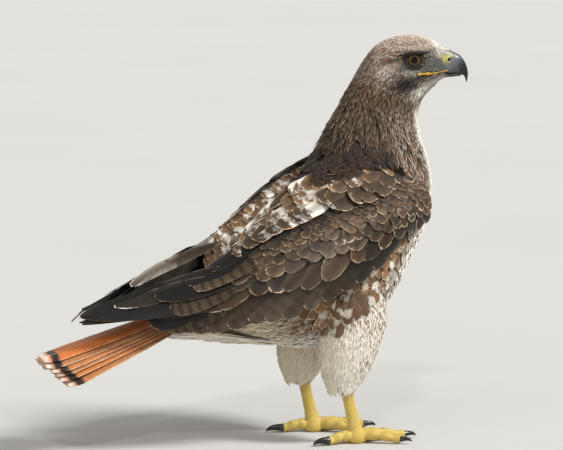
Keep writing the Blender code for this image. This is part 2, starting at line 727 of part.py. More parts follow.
def head_side(x, z):
    """Half width of the unturned head where its side is seen at x, z."""
    angles = np.linspace(0.0, math.pi, 61)
    places = np.linspace(NECK_END, HEAD_END, 57)
    skin = np.concatenate([section(spline(BODY_RINGS, place), angles) for place in places])
    return skin[np.argmin((skin[:, 0] - x) ** 2 + (skin[:, 2] - z) ** 2), 1]


def brow(side):
    """The ridge that overhangs one eye, from behind the eye to over the lores."""
    rings = []
    turns = np.arange(6) * 2 * math.pi / 6
    for share in np.linspace(0.0, 1.0, 6):
        x = BROW_BACK[0] + (BROW_FRONT[0] - BROW_BACK[0]) * share
        z = BROW_BACK[1] + (BROW_FRONT[1] - BROW_BACK[1]) * share
        size = 0.5 + BROW_RADIUS * math.sin(math.pi * share) ** 0.7
        y = head_side(x, z) - 0.6 + 0.9 * math.sin(math.pi * share)
        across = side * (y + size * np.cos(turns))
        rings.append(np.stack([0 * turns + x, across, z + size * np.sin(turns)], axis=-1))
    points, faces = lofted(rings)
    return new_mesh("brow", turned(points, HEAD_TURN), faces)


def mouth_cutter(side):
    """A thin blade that cuts the line of the mouth into the cheek."""
    corners = []
    for x, z in (MOUTH_CORNER, MOUTH_FRONT):
        width = head_side(x, z)
        for y in (side * (width - MOUTH_DEPTH), side * 40.0):
            for height in (-MOUTH_HEIGHT / 2, MOUTH_HEIGHT / 2):
                corners.append((x, y, z + height))
    faces = [(0, 1, 3, 2), (4, 6, 7, 5), (0, 4, 5, 1), (2, 3, 7, 6), (1, 5, 7, 3), (0, 2, 6, 4)]
    return new_mesh("mouth", turned(np.array(corners), HEAD_TURN), faces)


def build_head():
    """The skull's flesh with brows, lids and the line of the mouth, and the balls of the eyes."""
    head = body_length("head", HEAD_PLACES, HEAD_SIDES)
    for side in (-1, 1):
        dish = np.array(EYE_CENTRE) * (1.0, side, 1.0) + (0.0, side * SOCKET_OFFSET, 0.0)
        carved(head, sphere("dish", dish, SOCKET_RADIUS))
    fused(head, [brow(-1), brow(1), lid_ring(-1), lid_ring(1)])
    for side in (-1, 1):
        centre = np.array(EYE_CENTRE) * (1.0, side, 1.0)
        carved(head, sphere("socket", centre, EYE_RADIUS + GAP))
        carved(head, mouth_cutter(side))
        eye = sphere("eye_right" if side < 0 else "eye_left", centre, EYE_RADIUS)
        finish(eye, "eye_brown", 0.08, 80.0)
    return finish(head, "head_brown", 0.85)


def bill_piece(name, rings, colour, sides=14):
    """A horny piece of the bill through its rings."""
    angles = np.arange(sides) * 2 * math.pi / sides
    loops = [turned(section(row, angles), np.full(sides, HEAD_TURN)) for row in rings]
    piece = new_mesh(name, *lofted(loops))
    return finish(piece, colour, 0.35, 60.0)


def build_bill():
    """Cere with its nostrils, hooked upper bill and lower bill."""
    cere = bill_piece("cere", CERE_RINGS, "cere_yellow")
    for side in (-1, 1):
        x, _, z = NOSTRIL_CENTRE
        turns = np.arange(8) * 2 * math.pi / 8
        opening = np.outer(np.cos(turns), (1.3, 0.0, 0.0)) + np.outer(np.sin(turns), (0.0, 0.0, 1.0))
        opening = (x, 0.0, z) + NOSTRIL_RADIUS * opening
        rings = [opening + (0.0, side * reach, 0.0) for reach in NOSTRIL_REACH]
        points, faces = lofted(rings)
        carved(cere, new_mesh("nostril", turned(points, HEAD_TURN), faces))
    finish(cere, "cere_yellow", 0.45, 60.0)
    bill_piece("bill_upper", spline(BILL_RINGS, np.linspace(0, len(BILL_RINGS) - 1, 12)), "horn_black")
    bill_piece("bill_lower", MANDIBLE_RINGS, "horn_black", 10)


def leg_shift(side):
    """Where a leg stands from the place of the right one, for side -1 or 1."""
    return np.array([0.0 if side < 0 else LEFT_LEG_SHIFT, 0.0, 0.0])


def tarsus_rings(side, grown=0.0):
    """The rings of one tarsus from the ankle down, grown outwards for a cutter."""
    top = np.array([ANKLE[0], side * LEG_SPREAD, ANKLE[1] + grown]) + leg_shift(side)
    bottom = np.array([FOOT_CENTRE[0] - 1.0, side * LEG_SPREAD, FOOT_CENTRE[1] + 2.0]) + leg_shift(side)
    turns = np.arange(8) * 2 * math.pi / 8
    rings = []
    for share in np.linspace(0.0, 1.0, 5):
        centre = top + (bottom - top) * share
        radius = np.interp(share, TARSUS_STATIONS, TARSUS_RADII)
        rings.append(np.stack([
            centre[0] + (radius * TARSUS_OVAL[0] + grown) * np.cos(turns),
            centre[1] + (radius * TARSUS_OVAL[1] + grown) * np.sin(turns),
            centre[2] + 0 * turns,
        ], axis=-1))
    return rings


def build_thigh(side, body_cutter):
    """The feathered thigh, with a hem of tapered locks round the ankle."""
    name = "thigh_right" if side < 0 else "thigh_left"
    turns = np.arange(14) * 2 * math.pi / 14
    rings = []
    for row in spline(THIGH_RINGS, np.linspace(0, len(THIGH_RINGS) - 1, 6)):
        x, z, half_x, half_y = row
        rings.append(np.stack([
            x + half_x * np.cos(turns),
            side * LEG_SPREAD + half_y * np.sin(turns),
            z + 0 * turns,
        ], axis=-1))
    thigh = new_mesh(name, *lofted([ring + leg_shift(side) for ring in rings]))
    extras = []
    x, z, half_x, half_y = THIGH_RINGS[-2]
    stations = VANE_STATIONS[:, None]
    for tier, count in enumerate(HEM_TIERS):
        rim = np.array([half_x - 2.5, half_y - 2.5, 0.0]) * (1 - 0.2 * tier)
        for step in range(count):
            turn = 2 * math.pi * (step + 0.5 * tier) / count
            out = np.array([math.cos(turn), math.sin(turn), 0.0])
            top = np.array([x - 2.0, side * LEG_SPREAD, z]) + out * rim + leg_shift(side)
            length = HEM_LENGTH + 3.0 * (step % 2) + 4.0 * tier
            reach = np.array([-6.3 - 5.0 * out[0], -3.2 * out[1], -length])
            normals = np.tile(unit(out + (0.0, 0.0, -0.15)), (len(stations), 1))
            width = HEM_WIDTH - 2.0 * tier
            lock = vane(top + reach * stations, normals, width, HEM_SHARES, 0.12, thick=(3.2, 0.6))
            extras.append(new_mesh("lock", *slab(*lock)))
    fused(thigh, extras)
    carved(thigh, body_cutter, keep_cutter=True)
    carved(thigh, new_mesh("ankle_cutter", *lofted(tarsus_rings(side, GAP + 2 * SCUTE_HEIGHT))))
    return finish(thigh, "leg_white", 0.9)


def tube(points, radii, sides, heading):
    """Rings round a path that stays in the upright plane of a heading, each square to the path."""
    points = np.asarray(points, float)
    along = unit(np.gradient(points, axis=0))
    across = np.array([heading[1], -heading[0], 0.0])
    turns = np.arange(sides) * 2 * math.pi / sides
    rings = []
    for centre, radius, direction in zip(points, radii, along):
        up = np.cross(across, direction)
        rings.append(centre + radius * (np.outer(np.cos(turns), across) + np.outer(np.sin(turns), up)))
    return rings


def build_tarsus(side, name):
    """The bare shank with a row of scutes down its front."""
    loops = tarsus_rings(side)
    top, bottom = loops[0].mean(axis=0), loops[-1].mean(axis=0)
    tarsus = new_mesh(name, *lofted(loops))
    spread = SCUTE_SPREAD * np.array([-1.0, 0.0, 1.0])
    rises = ((SCUTE_HALF_HEIGHT, 0.0), (0.0, SCUTE_HEIGHT), (-SCUTE_HALF_HEIGHT, 0.9 * SCUTE_HEIGHT))
    scutes = []
    for step in range(SCUTES):
        share = 0.14 + 0.8 * step / SCUTES
        centre = top + (bottom - top) * share
        radius = float(np.interp(share, TARSUS_STATIONS, TARSUS_RADII))
        rows = []
        for height, grow in rises:
            rows.append(np.stack([
                centre[0] - 0.33 * height + (radius * TARSUS_OVAL[0] + grow) * np.cos(spread),
                centre[1] + (radius * TARSUS_OVAL[1] + grow) * np.sin(spread),
                centre[2] + height + 0 * spread,
            ], axis=-1))
        upper = np.array(rows)
        inner = centre + (upper - centre) * (0.75, 0.75, 1.0)
        scutes.append(new_mesh("scute", *slab(upper, inner)))
    fused(tarsus, scutes)
    finish(tarsus, "skin_yellow", 0.5)


def build_claw(name, tip, ahead, length):
    """One curved claw in front of a toe's end."""
    path, sizes = [], []
    for share in np.linspace(0.0, 1.0, 6):
        bend = CLAW_BEND * share
        reach = 0.64 * length * math.sin(bend)
        rise = 1.6 * math.sin(2.2 * share) - 0.19 * length * (1 - math.cos(bend))
        path.append(tip + ahead * (GAP + 0.6 + reach) + (0.0, 0.0, rise))
        sizes.append(CLAW_RADIUS * (1 - share) ** 0.8 * length / 24.0 + CLAW_TIP_RADIUS)
    claw = new_mesh(name, *lofted(tube(path, sizes, 6, ahead)))
    finish(claw, "horn_black", 0.3, 60.0)


def build_foot(side):
    """Tarsus, foot with four toes, and a claw on each toe."""
    hand = "right" if side < 0 else "left"
    build_tarsus(side, f"tarsus_{hand}")
    ground = np.array([FOOT_CENTRE[0], side * LEG_SPREAD, 0.0]) + leg_shift(side)
    turns = np.arange(10) * 2 * math.pi / 10
    pad = []
    for height, size in PAD_RINGS:
        pad.append(ground + np.stack([
            1.05 * size * np.cos(turns) - 0.06 * height,
            0.95 * size * np.sin(turns),
            height + 0 * turns,
        ], axis=-1))
    foot = new_mesh(f"foot_{hand}", *lofted(pad))
    toes = []
    for toe, (heading, length, radius, claw) in TOES.items():
        angle = math.radians(heading) * side
        ahead = np.array([math.cos(angle), math.sin(angle), 0.0])
        path, sizes = [], []
        for share in np.linspace(0.0, 1.0, 2 * TOE_BUMPS + 1):
            rise = TOE_HEIGHT + TOE_ARCH * math.sin(math.pi * min(1.15 * share, 1.0)) - 1.2 * share
            path.append(ground + ahead * (3.0 + length * share) + (0.0, 0.0, rise))
            bump = 0.5 + 0.5 * math.cos(2 * math.pi * share * TOE_BUMPS)
            sizes.append(radius * (1.16 - 0.3 * share) * (0.86 + 0.2 * bump))
        points, faces = lofted(tube(path, sizes, 8, ahead))
        points[:, 2] = np.maximum(points[:, 2], 0.0)
        toes.append(new_mesh(f"toe_{toe}", points, faces))
        build_claw(f"claw_{hand}_{toe}", path[-1], ahead, claw)
    fused(foot, toes)
    finish(foot, "skin_yellow", 0.5)


def main():
    """Builds every node of the bird."""
    for old in list(bpy.data.objects):
        bpy.data.objects.remove(old)
    build_torso()
    build_neck()
    build_head()
    build_bill()
    cutter = body_length("body_cutter", np.concatenate([TORSO_PLACES, NECK_PLACES]), BODY_SIDES, CUT_SPARE)
    for side in (-1, 1):
        build_wing(side, cutter)
        build_thigh(side, cutter)
        build_foot(side)
    build_tail()
    bpy.data.objects.remove(cutter)


main()
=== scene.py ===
"""Skin, plumage, eyes, bill and feet of a standing red-tailed hawk, laid over its solid frame.

The bird faces +X with its right side at -Y, and its head is turned to the right. Shapes are worked
out in millimetres and written to the meshes in metres.
"""

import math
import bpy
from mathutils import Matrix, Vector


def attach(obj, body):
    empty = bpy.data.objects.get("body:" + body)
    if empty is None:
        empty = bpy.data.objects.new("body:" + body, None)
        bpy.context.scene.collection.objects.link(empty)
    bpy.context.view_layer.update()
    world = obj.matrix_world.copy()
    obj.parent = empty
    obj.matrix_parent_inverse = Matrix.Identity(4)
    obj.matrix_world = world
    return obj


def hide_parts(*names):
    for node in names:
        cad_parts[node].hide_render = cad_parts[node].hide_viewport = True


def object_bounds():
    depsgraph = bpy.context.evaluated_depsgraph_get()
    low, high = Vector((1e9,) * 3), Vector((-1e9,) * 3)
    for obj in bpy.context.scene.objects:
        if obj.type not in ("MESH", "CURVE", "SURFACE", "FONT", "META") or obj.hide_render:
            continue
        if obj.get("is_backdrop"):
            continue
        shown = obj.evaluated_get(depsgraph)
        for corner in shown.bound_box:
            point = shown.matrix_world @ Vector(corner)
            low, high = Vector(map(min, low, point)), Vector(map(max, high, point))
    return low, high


bl_info = {
    "name": "Standing Hawk",
    "version": (1, 0, 0),
    "blender": (4, 5, 0),
    "location": "View3D > Sidebar > Hawk",
    "description": "Dresses the solid frame of a hawk with skin, feathers, eyes, bill and feet",
    "category": "Add Mesh",
}

import bmesh
import bpy
import numpy as np
from mathutils import Matrix, Vector
from mathutils.kdtree import KDTree

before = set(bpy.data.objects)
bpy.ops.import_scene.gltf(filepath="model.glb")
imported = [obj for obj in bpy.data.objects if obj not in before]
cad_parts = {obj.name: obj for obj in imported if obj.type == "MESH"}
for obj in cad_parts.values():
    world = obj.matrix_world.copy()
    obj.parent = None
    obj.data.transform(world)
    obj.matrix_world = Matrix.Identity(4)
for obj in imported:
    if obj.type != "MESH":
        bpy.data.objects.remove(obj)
CAD_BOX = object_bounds()

MM = 0.001
# Moves the bird so that the middle of its box stands over the origin, in millimetres.
ORIGIN_SHIFT = (5.5, 0.0, 0.0)
# The bird's sides, and the words for them in names.
HANDS = ((-1, "right"), (1, "left"))

# Body rings round the spine, from the tail root to the cere, in the midplane of an unturned bird.
# Each row: back x, back z, front x, front z, half width, narrowing towards the back.
BODY_RINGS = np.array([
    (-51.0, 149.0, -42.0, 116.0, 22.0, 0.0),
    (-34.0, 167.0, -6.0, 101.0, 36.0, 0.12),
    (-10.0, 194.0, 40.0, 89.0, 47.0, 0.22),
    (16.0, 221.0, 89.0, 94.0, 55.0, 0.25),
    (38.0, 243.0, 124.0, 125.0, 57.0, 0.25),
    (52.0, 259.0, 149.0, 167.0, 55.0, 0.25),
    (61.0, 274.0, 167.0, 205.0, 50.0, 0.22),
    (68.0, 287.0, 172.0, 235.0, 44.0, 0.18),
    (74.0, 298.0, 169.0, 260.5, 38.0, 0.12),
    (83.0, 310.5, 162.0, 282.0, 33.5, 0.08),
    (89.0, 322.0, 159.0, 300.5, 30.0, 0.05),
    (97.0, 335.0, 161.0, 315.0, 28.0, 0.05),
    (104.0, 348.0, 165.0, 322.6, 26.5, 0.06),
    (112.0, 360.4, 171.0, 329.5, 25.5, 0.08),
    (122.0, 371.0, 176.0, 334.0, 25.0, 0.08),
    (135.0, 377.1, 178.5, 336.6, 24.5, 0.08),
    (149.0, 379.2, 180.5, 338.2, 23.5, 0.06),
    (162.5, 377.9, 182.5, 339.3, 20.0, 0.02),
    (174.0, 374.1, 184.5, 340.2, 15.0, 0.0),
    (181.0, 370.4, 186.0, 341.0, 10.5, 0.0),
])
# Places along the spine, counted in rings, where trunk, neck and head end.
TORSO_END = 7.6
NECK_END = 12.0
HEAD_END = 19.0
# How far the sections differ from plain ovals.
SECTION_POWER = 0.92
# The neck twists the head towards the bird's right, about a vertical axis.
HEAD_TURN = math.radians(20.0)
TURN_AXIS_X = 124.0
TURN_STARTS = 7.0

# Bill, in the same midplane. Rows: top x, top z, bottom x, bottom z, half width.
CERE_RINGS = np.array([
    (178.0, 371.6, 184.4, 344.6, 11.4),
    (181.4, 370.1, 186.4, 344.3, 10.2),
    (187.0, 367.6, 187.0, 343.6, 9.3),
    (191.9, 365.2, 188.1, 343.6, 8.3),
])
BILL_RINGS = np.array([
    (190.6, 365.3, 187.2, 343.8, 8.1),
    (196.9, 362.3, 191.2, 343.4, 7.2),
    (200.6, 359.1, 194.8, 343.0, 6.0),
    (203.9, 354.0, 198.7, 342.6, 4.7),
    (205.8, 348.9, 201.6, 342.3, 3.5),
    (206.5, 344.6, 203.0, 341.3, 2.6),
    (206.3, 340.3, 203.9, 338.9, 1.6),
    (205.4, 335.9, 204.8, 335.6, 0.5),
])
MANDIBLE_RINGS = np.array([
    (183.5, 344.6, 183.5, 339.6, 7.2),
    (186.7, 344.6, 186.7, 340.3, 6.8),
    (192.0, 344.4, 192.0, 340.7, 5.6),
    (197.0, 343.8, 197.0, 341.2, 3.6),
    (199.8, 343.2, 199.8, 341.8, 1.6),
])
EYE_CENTRE = np.array([155.5, 13.6, 358.3])
EYE_RADIUS = 9.0
# Radii at which the pupil ends, the iris darkens and the iris ends, each as the span of a soft step.
PUPIL_EDGE = (3.1, 3.45)
IRIS_SHADE = (4.9, 6.2)
IRIS_EDGE = (6.2, 6.6)
DEEP_BLACK = (0.01, 0.008, 0.007, 1.0)
# The opening of the lids from the pupil's middle: above, below, to the sides, and more at the front corner.
LID_ABOVE = 5.7
LID_BELOW = 6.3
LID_LENGTH = 7.0
LID_CORNER = 0.9
BROW_BACK = (134.0, 365.0)
BROW_FRONT = (178.0, 367.6)
# The brow's bare edge from back to front, in x and z, and its length along x.
BROW_EDGE = np.array([(131.0, 361.2), (155.5, 365.0), (177.0, 366.4)])
BROW_EDGE_LENGTH = 46.5
MOUTH_CORNER = (160.1, 345.2)
MOUTH_FRONT = (188.0, 347.0)
NOSTRIL_CENTRE = (189.6, 357.6)
# How far the head's skin sinks at the eyes, lores and mouth, and stands out at brows and cheeks.
DISH_DEPTH = 4.2
LORE_DEPTH = 1.5
MOUTH_DEPTH = 1.1
BROW_HEIGHT = 3.4
CHEEK_HEIGHT = 1.3
# Soft patches on both sides of the unturned head: centre, radii, slant, colour and strength.
FACE_PATCHES = (
    ((131.0, 351.0), (12.0, 7.0), -0.5, "crown_edge", 0.2),
    ((127.0, 339.0), (9.0, 6.0), -0.9, "neck_edge", 0.25),
    ((145.0, 338.0), (20.0, 7.0), 0.35, "primary", 0.72),
    ((153.0, 338.5), (12.0, 5.0), 0.4, "primary", 0.7),
    ((131.0, 361.8), (11.0, 1.7), 0.2, "rufous", 0.5),
    ((157.0, 349.6), (10.0, 1.5), 0.1, "crown_edge", 0.3),
    # This dark band just under the brow is a painted shadow of the brow's overhang.
    ((151.0, 362.6), (27.0, 2.2), 0.13, "primary", 0.92),
    ((157.5, 357.3), (13.0, 10.2), 0.0, "lore", 0.75),
    ((174.5, 355.0), (10.5, 7.5), 0.0, "lore", 0.95),
    ((171.0, 360.8), (2.0, 1.6), 0.0, "primary", 0.8),
    ((180.0, 372.0), (7.0, 4.6), -0.4, "white", 0.95),
    ((181.5, 364.0), (3.5, 6.0), 0.3, "white", 0.85),
    ((183.0, 351.0), (3.5, 7.0), 0.0, "lore", 0.9),
    ((164.5, 331.5), (14.0, 5.0), 0.6, "white", 0.95),
    ((182.0, 340.6), (8.0, 2.2), 0.1, "white", 0.7),
)
# Spacing of the body's feathers: place along the spine, which setting, and the share of it.
SPACING = (
    (0.0, "body", 1.0), (5.0, "body", 0.9), (TORSO_END, "body", 0.6), (9.5, "neck", 1.15),
    (NECK_END, "neck", 0.75), (13.5, "head", 1.3), (16.0, "head", 1.1), (17.5, "head", 0.85),
    (HEAD_END, "head", 0.55),
)

# Outer surface of the folded right wing: columns from wrist to rear, rows from the ridge of the
# back down to the lower edge. Each point: x, distance from the midplane, z.
WING_GRID = np.array([
    [(129, 42, 261), (140, 44, 248), (154, 45, 240), (158, 46, 225), (154, 48, 210), (137, 52, 192)],
    [(107, 42, 268), (113, 53, 245), (117, 64, 230), (115, 70, 213), (109, 70, 194), (95, 64, 169)],
    [(79, 40, 263), (81, 54, 235), (80, 68, 219), (75, 75, 200), (67, 75, 177), (53, 66, 145)],
    [(53, 35, 254), (48, 50, 228), (43, 65, 210), (35, 72, 188), (23, 72, 161), (9, 62, 128)],
    [(25, 30, 238), (16, 44, 214), (6, 57, 196), (-7, 64, 175), (-21, 64, 150), (-33, 56, 122)],
    [(-2, 25, 217), (-14, 36, 194), (-27, 46, 177), (-43, 52, 159), (-59, 53, 139), (-75, 47, 119)],
    [(-25, 20, 193), (-37, 27, 178), (-55, 35, 163), (-73, 40, 151), (-88, 41, 138), (-101, 37, 125)],
    [(-45, 15, 171), (-57, 19, 165), (-75, 24, 156), (-90, 28, 149), (-104, 29, 141), (-115, 28, 133)],
], float) * (1.0, -1.0, 1.0)
WING_THICKNESS = 11.0
# The arm's core: column and share of the thickness there; row, share and depth under the surface.
CORE_COLUMNS = np.array([
    (0.0, 0.2), (0.15, 0.75), (0.7, 1.0), (2.8, 1.0), (4.0, 0.9), (5.2, 0.7), (6.3, 0.12)])
CORE_ROWS = np.array([(0.0, 0.3, 2.2), (0.5, 0.9, 2.2), (1.5, 1.0, 2.2), (2.7, 1.0, 2.4), (3.3, 0.9, 4.0),
                      (4.35, 0.1, 4.6)])
# How much higher the left wing is carried than the right, by x.
LEFT_WING_LIFT = np.array([
    (-179.0, -4.0), (-165.0, 4.0), (-130.0, 9.0), (-100.0, 13.0), (-60.0, 12.0), (0.0, 5.0), (60.0, 0.0),
])
# Root, tip, facing and width of the left wing's pale upper feather, in the right wing's frame.
FAR_RIM = np.array([(-38.0, -8.0, 178.5), (-122.0, -5.0, 144.0), (0.1, 0.75, 0.6)])
FAR_RIM_WIDTH = 11.5
# Nearer the midline than this the feathers of the back are lifted less than the left wing.
BACK_FADE = 22.0

# Rows of coverts: kind, number of feathers, column and row of the first and last root, the tips' shift
# along columns and rows, width, and lift at root, middle and tip.
WING_ROWS = (
    ("lesser", 13, (0.02, 1.3), (0.6, 0.55), (0.3, 0.34), (0.42, 0.4), 9.5, (-3.0, -0.8, 0.2)),
    ("lesser", 20, (0.0, 2.6), (0.85, 1.0), (0.28, 0.34), (0.45, 0.46), 10.5, (-3.0, -0.9, 0.2)),
    ("lesser", 26, (-0.02, 4.6), (1.08, 1.25), (0.24, 0.34), (0.45, 0.48), 11.5, (-3.0, -0.9, 0.2)),
    ("lesser", 27, (0.02, 4.7), (1.3, 1.45), (0.22, 0.34), (0.45, 0.48), 11.5, (-3.0, -0.9, 0.2)),
    ("lesser", 27, (-0.02, 4.8), (1.52, 1.64), (0.20, 0.34), (0.47, 0.5), 12.0, (-3.0, -0.9, 0.3)),
    ("lesser", 27, (0.02, 4.9), (1.76, 1.82), (0.18, 0.36), (0.5, 0.52), 12.5, (-3.0, -0.9, 0.3)),
    ("lesser", 26, (-0.02, 4.9), (2.0, 2.0), (0.18, 0.38), (0.54, 0.54), 13.0, (-3.0, -0.9, 0.4)),
    ("median", 22, (0.02, 4.9), (2.28, 2.2), (0.16, 0.42), (0.66, 0.64), 15.0, (-3.2, -0.8, 0.5)),
    ("median", 19, (-0.02, 4.95), (2.6, 2.45), (0.14, 0.5), (0.78, 0.74), 17.0, (-3.4, -0.8, 0.5)),
    ("greater", 15, (0.1, 5.1), (2.95, 2.8), (0.12, 0.72), (1.12, 1.1), 21.0, (-4.6, -1.6, 0.1)),
)
# By kind of covert: share of the mantle's colour, width of the fringe and its strength.
COVERT_KINDS = {"lesser": (0.2, 1.1, 0.7), "median": (0.6, 1.5, 0.95), "greater": (0.95, 1.5, 0.95)}
# Rows of scapulars, from the wing's upper edge down, in the same order but without the kind.
SCAPULAR_ROWS = (
    (13, (0.35, 4.6), (-0.25, -0.2), (0.62, 0.7), (0.3, 0.3), 16.0, (-3.5, -0.9, 0.6)),
    (13, (0.5, 4.8), (-0.02, 0.0), (0.62, 0.75), (0.34, 0.34), 17.0, (-3.5, -0.6, 1.2)),
    (13, (0.4, 4.9), (0.22, 0.22), (0.65, 0.8), (0.4, 0.38), 18.0, (-3.8, -0.2, 1.9)),
    (13, (0.55, 5.0), (0.44, 0.42), (0.68, 0.85), (0.46, 0.44), 19.0, (-4.0, 0.6, 3.0)),
    (12, (0.7, 5.0), (0.66, 0.62), (0.7, 0.9), (0.5, 0.46), 20.0, (-4.2, 1.2, 3.8)),
)
# Rows of feathers between the scapulars and the midline, and rows of the cape over the right shoulder.
BACK_ROWS = (-0.98, -0.8, -0.6, -0.4, -0.2)
CAPE_ROWS = 5
# The folded hand's dark edges, which show under the front of the secondaries: root and tip.
HAND_EDGES = (((0.25, 3.3), (1.5, 5.0)), ((0.3, 3.0), (2.2, 5.05)), ((0.4, 2.8), (2.9, 5.02)))
# Tertials: root, tip and colour; the last two are paler on the left wing.
TERTIALS = (
    ((4.1, 3.2), (6.1, 5.1), "secondary"), ((4.3, 3.0), (6.75, 5.3), "primary"),
    ((4.3, 2.7), (7.1, 4.6), "primary"), ((4.3, 2.4), (6.4, 4.1), "secondary"),
    ((4.2, 2.0), (7.6, 3.45), "primary"), ((4.0, 1.6), (6.2, 2.75), "secondary"),
    ((4.2, 1.2), (6.95, 2.1), "primary"), ((4.4, 0.8), (6.6, 1.3), "primary"),
)
PALE_TERTIALS = 2

# Primaries, from the outermost inwards: tip x, distance from the midplane, z.
PRIMARY_TIPS = np.array([
    (-164.0, 22.0, 127.5),
    (-175.8, 16.0, 123.8),
    (-176.9, 12.0, 124.9),
    (-170.0, 11.0, 128.3),
    (-143.4, 12.0, 138.5),
    (-122.4, 12.0, 145.1),
    (-110.7, 13.0, 149.8),
]) * (1.0, -1.0, 1.0)
# The outer ones are pointed, and all are this wide.
POINTED_PRIMARIES = 4
PRIMARY_WIDTH = 21.0
# Further tips of the right (-1) and left (1) hand, which close the gap between the hands.
INNER_TIPS = {
    -1: np.array([(-175.0, -8.0, 129.5)]),
    1: np.array([(-170.0, -8.0, 125.0), (-159.0, -7.0, 128.5), (-146.0, -6.0, 131.0), (-130.0, -6.0, 134.0)]),
}
INNER_ROOT = np.array([-48.0, -30.0, 160.0])
INNER_WIDTH = 27.0
PRIMARY_ROOTS = np.array([(-52.0, -47.0, 147.0), (-40.0, -40.0, 170.0)])
PRIMARY_FACING = np.array([(0.1, -0.93, 0.36), (0.25, -0.36, 0.90)])

# Tail: frame at its root, and how its feathers fan and droop.
TAIL_ROOT = (-40.0, 0.0, 141.0)
TAIL_SLOPE = math.radians(16.5)
TAIL_ROLL = math.radians(11.0)
TAIL_LENGTH = 180.0
TAIL_START = 20.0
TAIL_PAIRS = 6
TAIL_TIP_SPACING = 5.2
TAIL_ROOF_RADIUS = 44.0
TAIL_LAYER = 0.95
TAIL_WIDTH = 27.0
# Outer pairs are shorter by this much times the square of the pair's number.
TAIL_SHORTER = 0.35
# How much of the duller red each pair has.
TAIL_DULL = (0.0, 0.75, 0.45, 0.6, 0.3, 0.7)
# Rows of coverts over the tail's root: where they start, their length, height and number.
TAIL_COVERTS = ((-14.0, 34.0, 4.5, 7), (0.0, 38.0, 3.0, 7), (14.0, 44.0, 1.8, 6))
# Wisps under the tail's root.
UNDERTAIL_ROWS = 16
UNDERTAIL_COUNT = 32
# The flesh of the tail's root: how far behind the body's last ring, and the share of that ring's size.
TAIL_FLESH = ((-6.0, 1.0), (10.0, 0.92), (22.0, 0.72), (40.0, 0.45), (52.0, 0.2))
TAIL_FLESH_SLOPE = 0.28

# Thigh rows: centre x, z, half length along x, half width; the left leg stands further back.
THIGH_RINGS = np.array([
    (84.0, 150.0, 27.0, 13.0),
    (84.0, 132.0, 31.0, 19.0),
    (84.0, 112.0, 31.5, 21.5),
    (81.0, 92.0, 29.0, 21.0),
    (77.0, 72.0, 24.5, 18.0),
    (74.0, 56.0, 17.0, 13.5),
])
# About how far one thigh row lies from the next.
THIGH_STEP = 19.0
FLANK_SPACING = 5.6
LEG_SPREAD = 35.0
LEFT_LEG_SHIFT = -17.0
ANKLE = (74.0, 55.6)
FOOT_CENTRE = (88.0, 12.0)
TARSUS_STATIONS = (0.0, 0.45, 0.8, 1.0)
TARSUS_RADII = (6.2, 4.6, 5.2, 6.6)
# Toes: heading in degrees from straight ahead (outwards positive), length, radius, claw length.
TOES = {
    "middle": (-4.0, 45.0, 4.6, 21.0),
    "inner": (-34.0, 34.0, 4.6, 24.0),
    "outer": (30.0, 38.0, 4.2, 18.0),
    "hind": (172.0, 27.0, 4.8, 26.0),
}
CLAW_RADIUS = 3.3
CLAW_BEND = 1.45
CLAW_HEIGHT = 4.4
CLAW_RINGS, CLAW_SIDES = 26, 20
# How far from the foot's middle the toes start.
TOE_START = 3.0
# The ball of the foot: height and radius.
PAD_RINGS = ((0.0, 6.4), (0.5, 7.6), (3.0, 9.4), (8.0, 8.6), (12.0, 6.9), (14.0, 6.2))
SHANK_SCUTES = 13.0
TOE_SCUTE = 3.2

# Outlines of feathers: stations along the vane, and its width there, as shares.
ROUND = (np.array([0.0, 0.18, 0.4, 0.6, 0.76, 0.88, 0.96, 1.0]),
         np.array([0.35, 0.66, 0.92, 1.0, 0.97, 0.82, 0.55, 0.22]))
SOFT = (np.array([0.0, 0.3, 0.6, 0.8, 0.93, 1.0]), np.array([0.4, 0.85, 1.0, 0.88, 0.6, 0.2]))
LANCE = (np.array([0.0, 0.4, 0.75, 1.0]), np.array([0.55, 1.0, 0.72, 0.12]))
WISP = (np.array([0.0, 0.3, 0.6, 0.85, 1.0]), np.array([0.6, 1.0, 0.85, 0.45, 0.08]))
FLIGHT = (np.array([0.0, 0.1, 0.25, 0.45, 0.65, 0.8, 0.9, 0.96, 1.0]),
          np.array([0.45, 0.7, 0.9, 1.0, 1.0, 0.95, 0.82, 0.6, 0.25]))
RECTRIX = (FLIGHT[0], np.array([0.45, 0.62, 0.8, 0.93, 1.0, 1.02, 0.98, 0.86, 0.55]))
POINTED = (FLIGHT[0], np.array([0.5, 0.8, 0.95, 1.0, 0.86, 0.66, 0.46, 0.3, 0.1]))
# How much further ragged tips slip back than ragged sides spread.
RAGGED_TIP = 1.4
# What a feather's bars and its dark middle leave of its colour.
BAR_SHADE = (0.36, 0.34, 0.33, 1.0)
MIDDLE_SHADE = (0.30, 0.27, 0.25, 1.0)

# The stage. The camera looks at the right side, from a little behind and above.
VIEW_AZIMUTH = math.radians(20.0)
VIEW_ELEVATION = math.radians(8.0)
# The middle of the picture from the body's origin, in its pixels to the right and up, and its width.
PICTURE_CENTRE = (25.5, 217.0)
PICTURE_WIDTH = 563
SENSOR_WIDTH = 36.0
FLOOR_HALF = 40
FLOOR_TONES = ((0.52, 0.51, 0.49, 1.0), (0.56, 0.55, 0.53, 1.0))
SKY_TONE = (0.84, 0.83, 0.81, 1.0)
SKY_STRENGTH = 0.62
# Lamps: name, direction of the light, how many degrees wide and how strong.
LAMPS = (
    ("key", (-0.62, 0.50, -0.85), 14.0, 3.3),
    ("fill", (0.9, 0.55, -0.45), 40.0, 0.4),
    ("glint", (0.246, 0.679, -0.694), 4.0, 0.45),
)


def srgb(red, green, blue):
    """A colour given in display values from 0 to 255, as linear light."""
    shares = np.array([red, green, blue], float) / 255
    light = np.where(shares < 0.04045, shares / 12.92, ((shares + 0.055) / 1.055) ** 2.4)
    return tuple(float(c) for c in light)


